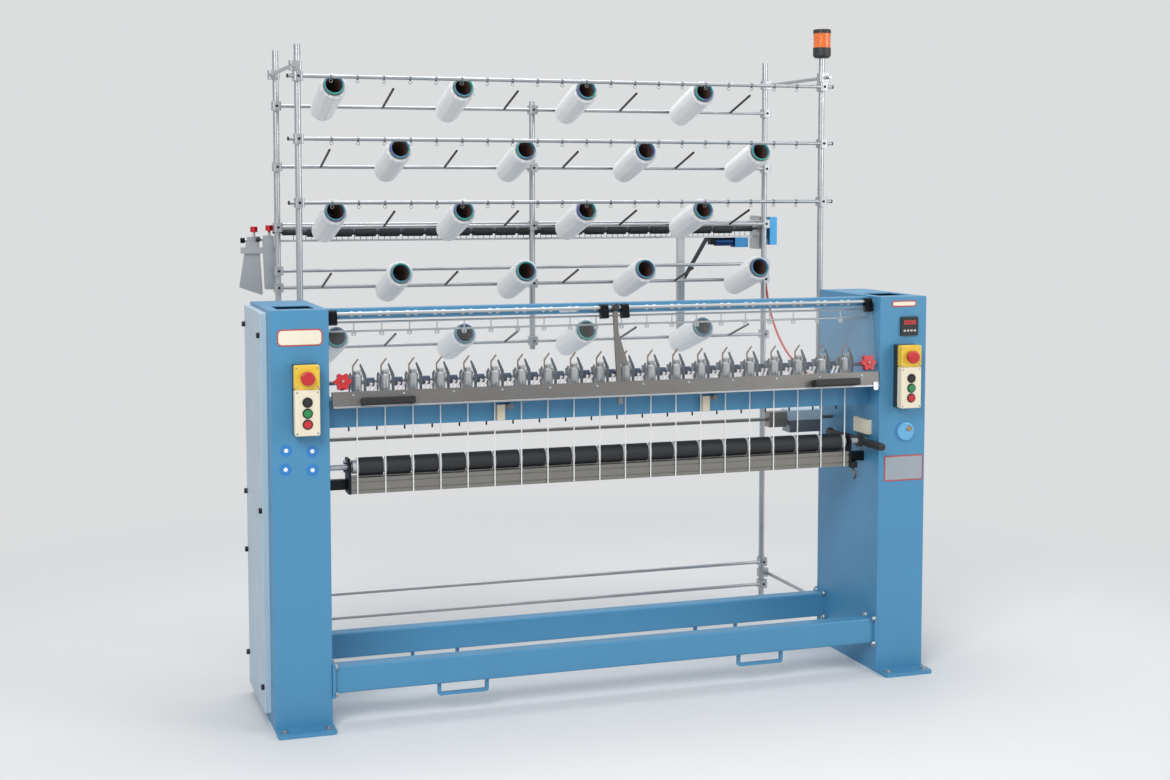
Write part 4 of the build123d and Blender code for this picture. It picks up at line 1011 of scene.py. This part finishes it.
@dataclass
class KnittedCords:
    """One knitted cord under each head, pulled straight by the take-down roller."""

    y: float = -406.8
    top: float = 940.0
    bottom: float = 662.0
    radius: float = 2.0
    stitch: float = 3.2
    sides: int = 12

    def build(self) -> None:
        """Replace the plain tubes with knitted ones, one cord for each head."""
        for number, x in enumerate(HEADS, 1):
            self.cord(f"knitted_cord_{number:02d}", float(x), number == 1)

    def cord(self, name: str, x: float, stands_in: bool) -> None:
        """Make one cord: a tube whose wall swells once for every stitch along four ribs.

        Args:
            name: The cord's name.
            x: Its place along the machine.
            stands_in: True for the cord that hides the frame's plain ones.
        """
        length = self.top - self.bottom
        down = np.linspace(0, length, int(length / self.stitch * 4))[:, None]
        turns = down / self.stitch * FULL_TURN
        angle = around(self.sides)[None]
        wave = np.cos(4 * angle + 0.6 * np.sin(turns))
        swell = 0.5 + 0.5 * np.cos(turns + 2 * angle)
        radius = self.radius * (0.92 + 0.04 * wave + 0.04 * swell)
        rings = rows(radius * np.cos(angle), radius * np.sin(angle), -down)
        tube = closed(rings, (0, 0, 0), (0, 0, -length))
        piece = add_piece(name, tube, (x, self.y, self.top), CORD, smooth=True)
        if stands_in:
            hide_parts("knitted_cords")


@dataclass
class TakeDown:
    """Take-down roller, slotted table, end brackets and release lever."""

    table_front: float = -404.5
    half: float = 802.0
    bracket_bolt: Span = (8, 45)
    bolt_zs: Span = (750, 725)
    grip: Triple = (851, -535.5, 738)
    ribs: Triple = (14, 100, 9)
    clamp: Triple = (828, -380.5, 651.5)

    def build(self) -> None:
        """Dress the roller, table and lever and add their fixings."""
        dress(ROLLER, "take_down_roller")
        dress(TABLE, "take_down_frame")
        dress(BLACK, "roller_lever")
        self.bracket_bolts()
        self.grip_ribs()
        self.lever_clamp()

    def bracket_bolts(self) -> None:
        """Hold each end bracket with two bolts."""
        out, back = self.bracket_bolt
        for side in Side:
            places = grid([side.value * (self.half + out)], self.table_front + back, self.bolt_zs)
            name = f"{side.label}_bracket_bolts"
            add_piece(name, hexagon_bolt(10, 5), places, TUBE, FACE_SIDE[side])

    def grip_ribs(self) -> None:
        """Ring the lever's grip with low rubber ribs."""
        rib = turned([(11, -2), (12.6, -1.2), (12.6, 1.2), (11, 2), (11, -2)], 28)
        x, y, z = self.grip
        places = rows(x, y + np.arange(*self.ribs), z)
        add_piece("lever_grip_ribs", rib, places, RUBBER, FACE_FRONT, "roller_lever", True)

    def lever_clamp(self) -> None:
        """Hang a dark clamp with a bronze hook from the right bracket's arm: a swept, eased bend."""
        clamp = rounded_block(26, 22, 20, 4, 2)
        add_piece("lever_clamp_block", clamp, self.clamp, BLACK)
        t = np.linspace(0, 1, 13)
        hook = swept(rows(6 * t, -14 * np.sin(math.pi * t), -2 - 34 * t), 3, 10)
        add_piece("lever_clamp_hook", hook, self.clamp, BRONZE, smooth=True)


@dataclass
class Guard:
    """Clear tilting guard with its rail, arm, clips, handles and locking knobs."""

    hinge: Span = (-417.5, 1188)
    lean: float = math.radians(10)
    rail_face: float = 16.5
    rail_centre: float = 247.5
    half: float = 866.5
    screw_inset: float = 60.0
    screw_rise: float = 12.0
    lip_drop: float = 21.0
    knob: Triple = (835, 195, 18.8)
    boss_height: float = 3.0

    def build(self) -> None:
        """Dress the guard and add its screws, lip, tab and knob bosses."""
        dress(PANE, "guard_pane")
        dress(GUARD_FRAME, "guard_frame")
        dress(GRIP, "guard_handles")
        dress(RED, "left_guard_knob", "right_guard_knob")
        self.rail_screws()
        self.rail_lip()
        self.knob_bosses()

    def place(self, x: float, down: float, out: float) -> np.ndarray:
        """Give a point by its distance along X, down the pane and out of it."""
        c, s = math.cos(self.lean), math.sin(self.lean)
        y, z = self.hinge
        return np.array([x, y - down * s - out * c, z - down * c + out * s])

    def rail_screws(self) -> None:
        """Hold the pane in the rail with twelve button-head screws."""
        reach = self.half - self.screw_inset
        down = self.rail_centre - self.screw_rise
        places = [self.place(x, down, self.rail_face) for x in np.linspace(-reach, reach, 12)]
        add_piece("rail_screws", socket_screw(4, 2.4), places, TUBE, leaning(self.lean), GUARD)

    def rail_lip(self) -> None:
        """Run a thin bright lip along the rail's lower edge, and hang the white tab at its end."""
        lip = rounded_block(2 * self.half - 4, 5, 2, 1, 0.5)
        down = self.rail_centre + self.lip_drop
        place = self.place(0, down, self.rail_face)
        add_piece("rail_lip", lip, place, TUBE, leaning(self.lean), GUARD)
        tab = rounded_block(16, 26, 1.5, 3, 0.4)
        place = self.place(self.half - 14, down + 1, self.rail_face + 2)
        add_piece("rail_tab", tab, place, SIGN_PALE, leaning(self.lean), GUARD)

    def knob_bosses(self) -> None:
        """Set a red boss with a steel screw in each locking knob."""
        height = self.boss_height
        boss = turned([(0, 0), (9, 0), (9, 2), (7.5, height), (0, height)], 24)
        x, down, out = self.knob
        for side in Side:
            body = f"{side.label}_guard_knob"
            place = self.place(side.value * x, down, out)
            add_piece(f"{body}_boss", boss, place, RED, leaning(self.lean), body)
            place = self.place(side.value * x, down, out + height)
            add_piece(f"{body}_screw", socket_screw(4, 2.6), place, TUBE, leaning(self.lean), body)


@dataclass
class Controls:
    """Control boxes with bezels and screws, their buttons, and the counter."""

    face: float = -520.5
    box_xs: Span = (-944.5, 957.5)
    stop_z: float = 1018.0
    button_zs: Triple = (950, 919, 888)
    screw_x: float = 29.0
    screw_zs: tuple[float, ...] = (993, 1047, 862, 978)
    counter_x: float = 975.0
    counter_face: float = -474.5
    window_z: float = 1123.0
    key_z: float = 1097.0

    def build(self) -> None:
        """Dress the boxes and buttons and build the counter's face."""
        dress(BOXES, "control_boxes")
        for side in Side:
            dress(RED, f"{side.label}_stop_button", f"{side.label}_red_button")
            dress(GLOSS_BLACK, f"{side.label}_black_button")
            dress(GREEN, f"{side.label}_green_button")
        self.bezels()
        self.cover_screws()
        self.counter_panel()
        self.figures()
        self.keys()

    def bezels(self) -> None:
        """Ring each button with a bezel on the cover."""
        ring = turned([(11.5, 0), (14.5, 0), (14.5, 2), (13, 3), (11.5, 3), (11.5, 0)], 32)
        places = grid(self.box_xs, self.face, self.button_zs)
        add_piece("button_bezels", ring, places, BLACK, FACE_FRONT, smooth=True)
        collar = turned([(11.5, 0), (18, 0), (18, 0.9), (16, 1.6), (11.5, 1.6), (11.5, 0)], 36)
        places = grid(self.box_xs, self.face, [self.stop_z])
        add_piece("stop_collars", collar, places, BLACK, FACE_FRONT, smooth=True)

    def cover_screws(self) -> None:
        """Hold every cover with four screws at its corners."""
        xs = [x for middle in self.box_xs for x in pair(self.screw_x, middle)]
        places = grid(xs, self.face, self.screw_zs)
        add_piece("cover_screws", socket_screw(3, 1.4), places, TUBE, FACE_FRONT)

    def counter_panel(self) -> None:
        """Set a dark window in the counter."""
        place = (self.counter_x, self.counter_face, self.window_z)
        add_piece("counter_window", rounded_block(48, 18, 1, 2, 0.3), place, GLOSS_BLACK, FACE_FRONT)

    def figures(self) -> None:
        """Light four noughts of six bars each in the counter's window."""
        y, z = self.counter_face - 1, self.window_z
        xs = [self.counter_x + offset for offset in (-16.5, -5.5, 5.5, 16.5)]
        ends = [end for x in xs for end in pair(2.9, x)]
        flat = rounded_block(4.5, 1.2, 0.4, 0.4, 0.1).placed(grid(xs, y, pair(5.6, z)), FACE_FRONT)
        upright = rounded_block(1.2, 4.5, 0.4, 0.4, 0.1).placed(grid(ends, y, pair(2.8, z)), FACE_FRONT)
        add_piece("counter_figures", joined([flat, upright]), (0, 0, 0), LED_RED)

    def keys(self) -> None:
        """Set a row of four keys under the counter's window."""
        xs = [self.counter_x + offset for offset in (-18, -6, 6, 18)]
        places = grid(xs, self.counter_face, [self.key_z])
        add_piece("counter_keys", rounded_block(8, 6, 1.4, 1.2, 0.4), places, KEY_GREY, FACE_FRONT)


@dataclass
class Creel:
    """Tube creel with spindles, paper tubes, wound yarn, eyelets and end caps."""

    levels: tuple[float, ...] = (1818, 1618, 1418, 1217, 1015)
    columns: int = 8
    pitch: float = 211.4
    bar_y: float = 423.2
    rise: float = math.radians(17)
    drop: float = 23.7
    front_bars: Triple = (1888, 1698, 1503)
    front_bar_y: float = -34.8
    clamp_reach: float = 9.0
    low_clamps: Triple = (1273, 170, 87)
    post_x: float = 883.5
    post_y: float = 439.5
    bar_end: float = 30.0

    def build(self) -> None:
        """Dress the creel and build its yarn and fittings."""
        dress(TUBE, "creel_frame")
        dress(DARK_STEEL, "cone_spindles")
        dress(CARDBOARD, "cone_tubes")
        self.packages()
        self.rims()
        self.bar_eyelets()
        self.caps()
        self.clamp_screws()

    def feet(self) -> np.ndarray:
        """Give the foot of every package's axis: every second spindle, shifted on odd rows."""
        spots = [
            ((column - (self.columns - 1) / 2) * self.pitch, level)
            for row, level in enumerate(self.levels)
            for column in range(row % 2, self.columns, 2)
        ]
        xs, zs = np.array(spots).T
        y = self.bar_y - self.drop * math.sin(self.rise)
        return rows(xs, y, zs - self.drop * math.cos(self.rise))

    def packages(self) -> None:
        """Wind each package: a cone with rounded shoulders, drawn as quarter circles."""
        quarter = np.linspace(0, math.pi / 2, 5)
        rear = np.stack([33 + 7 * np.sin(quarter), 39 - 7 * np.cos(quarter)], -1)
        along = np.linspace(0, 1, 26)[1:-1]
        side = np.stack([40 + 3 * along + 0.8 * np.sin(math.pi * along), 39 + 218 * along], -1)
        front = np.stack([38.5 + 4.5 * np.cos(quarter), 257 + 4.5 * np.sin(quarter)], -1)
        bore = np.array([(32.3, 261.5), (32.3, 32.2), (33, 32)])
        cone = turned(np.concatenate([rear, side, front, bore]), 40)
        turn = leaning(self.rise)
        piece = add_piece("wound_yarn_packages", cone, self.feet(), YARN, turn, smooth=True)
        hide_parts("yarn_packages")

    def rims(self) -> None:
        """Print a band round the outer end of each paper tube and another one inside its mouth."""
        radii = [31.9, 32.3, 32.3, 31.9, 28.6, 28.6, 31.9, 31.9]
        heights = [266, 266, 275.8, 276.2, 276.2, 275.8, 275.8, 266]
        outside = turned(list(zip(radii, heights)), 36)
        radii = [28.05, 27.7, 27.7, 28.5, 28.5, 28.05, 28.05]
        heights = [262, 262, 276, 276.3, 275.9, 275.6, 262]
        inside = turned(list(zip(radii, heights)), 36)
        add_piece("tube_rims", outside, self.feet(), RIM, leaning(self.rise))
        add_piece("tube_mouths", inside, self.feet(), RIM, leaning(self.rise))

    def bar_eyelets(self) -> None:
        """Clip wire eyelets on the front bars: a ring on a short stem under each clip."""
        angle = np.linspace(0, FULL_TURN, 17)
        ring = rows(5 * np.sin(angle), 0, -13 + 5 * np.cos(angle))
        stem = rows(0, 0, np.array([-6, -7.5, -9]))
        clip = turned([(6.05, -3), (7.4, -3), (7.4, 3), (6.05, 3), (6.05, -3)], 14)
        places = [(x, self.front_bar_y, z) for z in self.front_bars for x in HEADS]
        wires = [swept(ring, 0.9, 6).placed(places), swept(stem, 1.2, 6).placed(places)]
        add_piece("bar_eyelet_rings", joined(wires), (0, 0, 0), WIRE, smooth=True)
        across = np.array([[0, 0, 1], [0, 1, 0], [-1, 0, 0]], float)
        add_piece("bar_eyelet_clips", clip, places, WIRE, across)

    def caps(self) -> None:
        """Plug the open ends of the front bars and shoe the rear posts with dark caps."""
        cap = turned([(0, 0), (6.4, 0), (6.4, 4), (5, 5.5), (0, 5.5)])
        for side in Side:
            xs = [side.value * (self.post_x + self.bar_end)]
            places = grid(xs, self.front_bar_y, self.front_bars)
            add_piece(f"{side.label}_bar_caps", cap, places, BLACK, FACE_SIDE[side])
        shoe = [(10.05, 0.2), (13, 0.2), (13, 3), (11.5, 26), (10.05, 26), (10.05, 0.2)]
        places = grid(pair(self.post_x), self.post_y, [0])
        add_piece("post_shoes", turned(shoe, 28), places, BLACK, smooth=True)

    def clamp_screws(self) -> None:
        """Tighten each cross clamp with a set screw on its front."""
        rear_y, front_y = self.bar_y - self.clamp_reach, self.front_bar_y - self.clamp_reach
        places = grid(pair(self.post_x), rear_y, self.levels + self.low_clamps)
        places += grid(pair(self.post_x), front_y, self.front_bars) + grid([0], rear_y, self.levels)
        add_piece("clamp_screws", socket_screw(4.5, 4), places, DARK_STEEL, FACE_FRONT)


@dataclass
class FeedUnit:
    """Yarn feed unit behind the creel: grooved roller, rail, guides and cable."""

    comb_y: float = 476.5
    rail_z: float = 1374.0
    gland: Triple = (908.5, 481.5, 1340)
    cabinet_back: float = -42.5
    cable_length: float = 0.793
    cable_diameter: float = 8.0

    def build(self) -> None:
        """Dress the unit and add its guide comb and red cable."""
        dress(FEED_ROLLER, "feed_roller")
        dress(FEED_FRAME, "feed_frame")
        self.comb()
        self.cable()

    def comb(self) -> None:
        """Stand a comb of wire guides on the rail's front edge."""
        wire = turned([(0, 0), (1, 0), (1, 20), (0.4, 21), (0, 21)], 6)
        places = rows(np.arange(-40, 41) * PITCH / 4, self.comb_y, self.rail_z)
        add_piece("feed_comb", wire, places, DARK_STEEL, smooth=True)

    def cable(self) -> None:
        """Hang the red cable from its gland to the back of the right cabinet."""
        x, y, z = self.gland
        bow = ((0, 0), (0, 85), (14, 170), (52, 250), (112, 322), (190, 380), (282, 420), (380, 444))
        route = [(x * MM, (y - forward) * MM, (z - down) * MM) for forward, down in bow]
        route.append((x * MM, self.cabinet_back * MM, route[-1][2]))
        data = bpy.data.curves.new("red_cable", "CURVE")
        data.dimensions = "3D"
        data.bevel_depth = self.cable_diameter / 2 * MM
        data.bevel_resolution = 4
        data.resolution_u = 16
        data.use_fill_caps = True
        spline = data.splines.new("NURBS")
        spline.points.add(len(route) - 1)
        spline.points.foreach_set("co", np.array([(*point, 1.0) for point in route]).ravel())
        spline.order_u = 3
        spline.use_endpoint_u = True
        data.materials.append(CABLE.material())
        piece = linked("red_cable", data)
        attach(piece, MACHINE)
        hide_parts("feed_cable")


@dataclass
class Beacon:
    """Signal lamp on the right front post."""

    lens_foot: Triple = (883.5, -18.5, 2019)
    ribs: Triple = (5, 46, 5)

    def build(self) -> None:
        """Dress the beacon and rib its lens."""
        dress(BLACK, "beacon_body")
        dress(AMBER, "beacon_lens")
        rib = turned([(28.6, -1.2), (29.8, 0), (28.6, 1.2), (28.6, -1.2)], 40)
        x, y, z = self.lens_foot
        add_piece("beacon_ribs", rib, rows(x, y, z + np.arange(*self.ribs)), AMBER, smooth=True)


def main() -> None:
    """Build the machine's looks in order."""
    logging.basicConfig(level=logging.INFO, format="%(message)s")
    bpy.context.scene.view_settings.view_transform = "Standard"
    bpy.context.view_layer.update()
    Studio().build()
    front = (Cabinets, Beams, Heads, KnittedCords, TakeDown, Guard, Controls)
    for assembly in (*front, Creel, FeedUnit, Beacon):
        assembly().build()


if __name__ == "__main__":
    main()
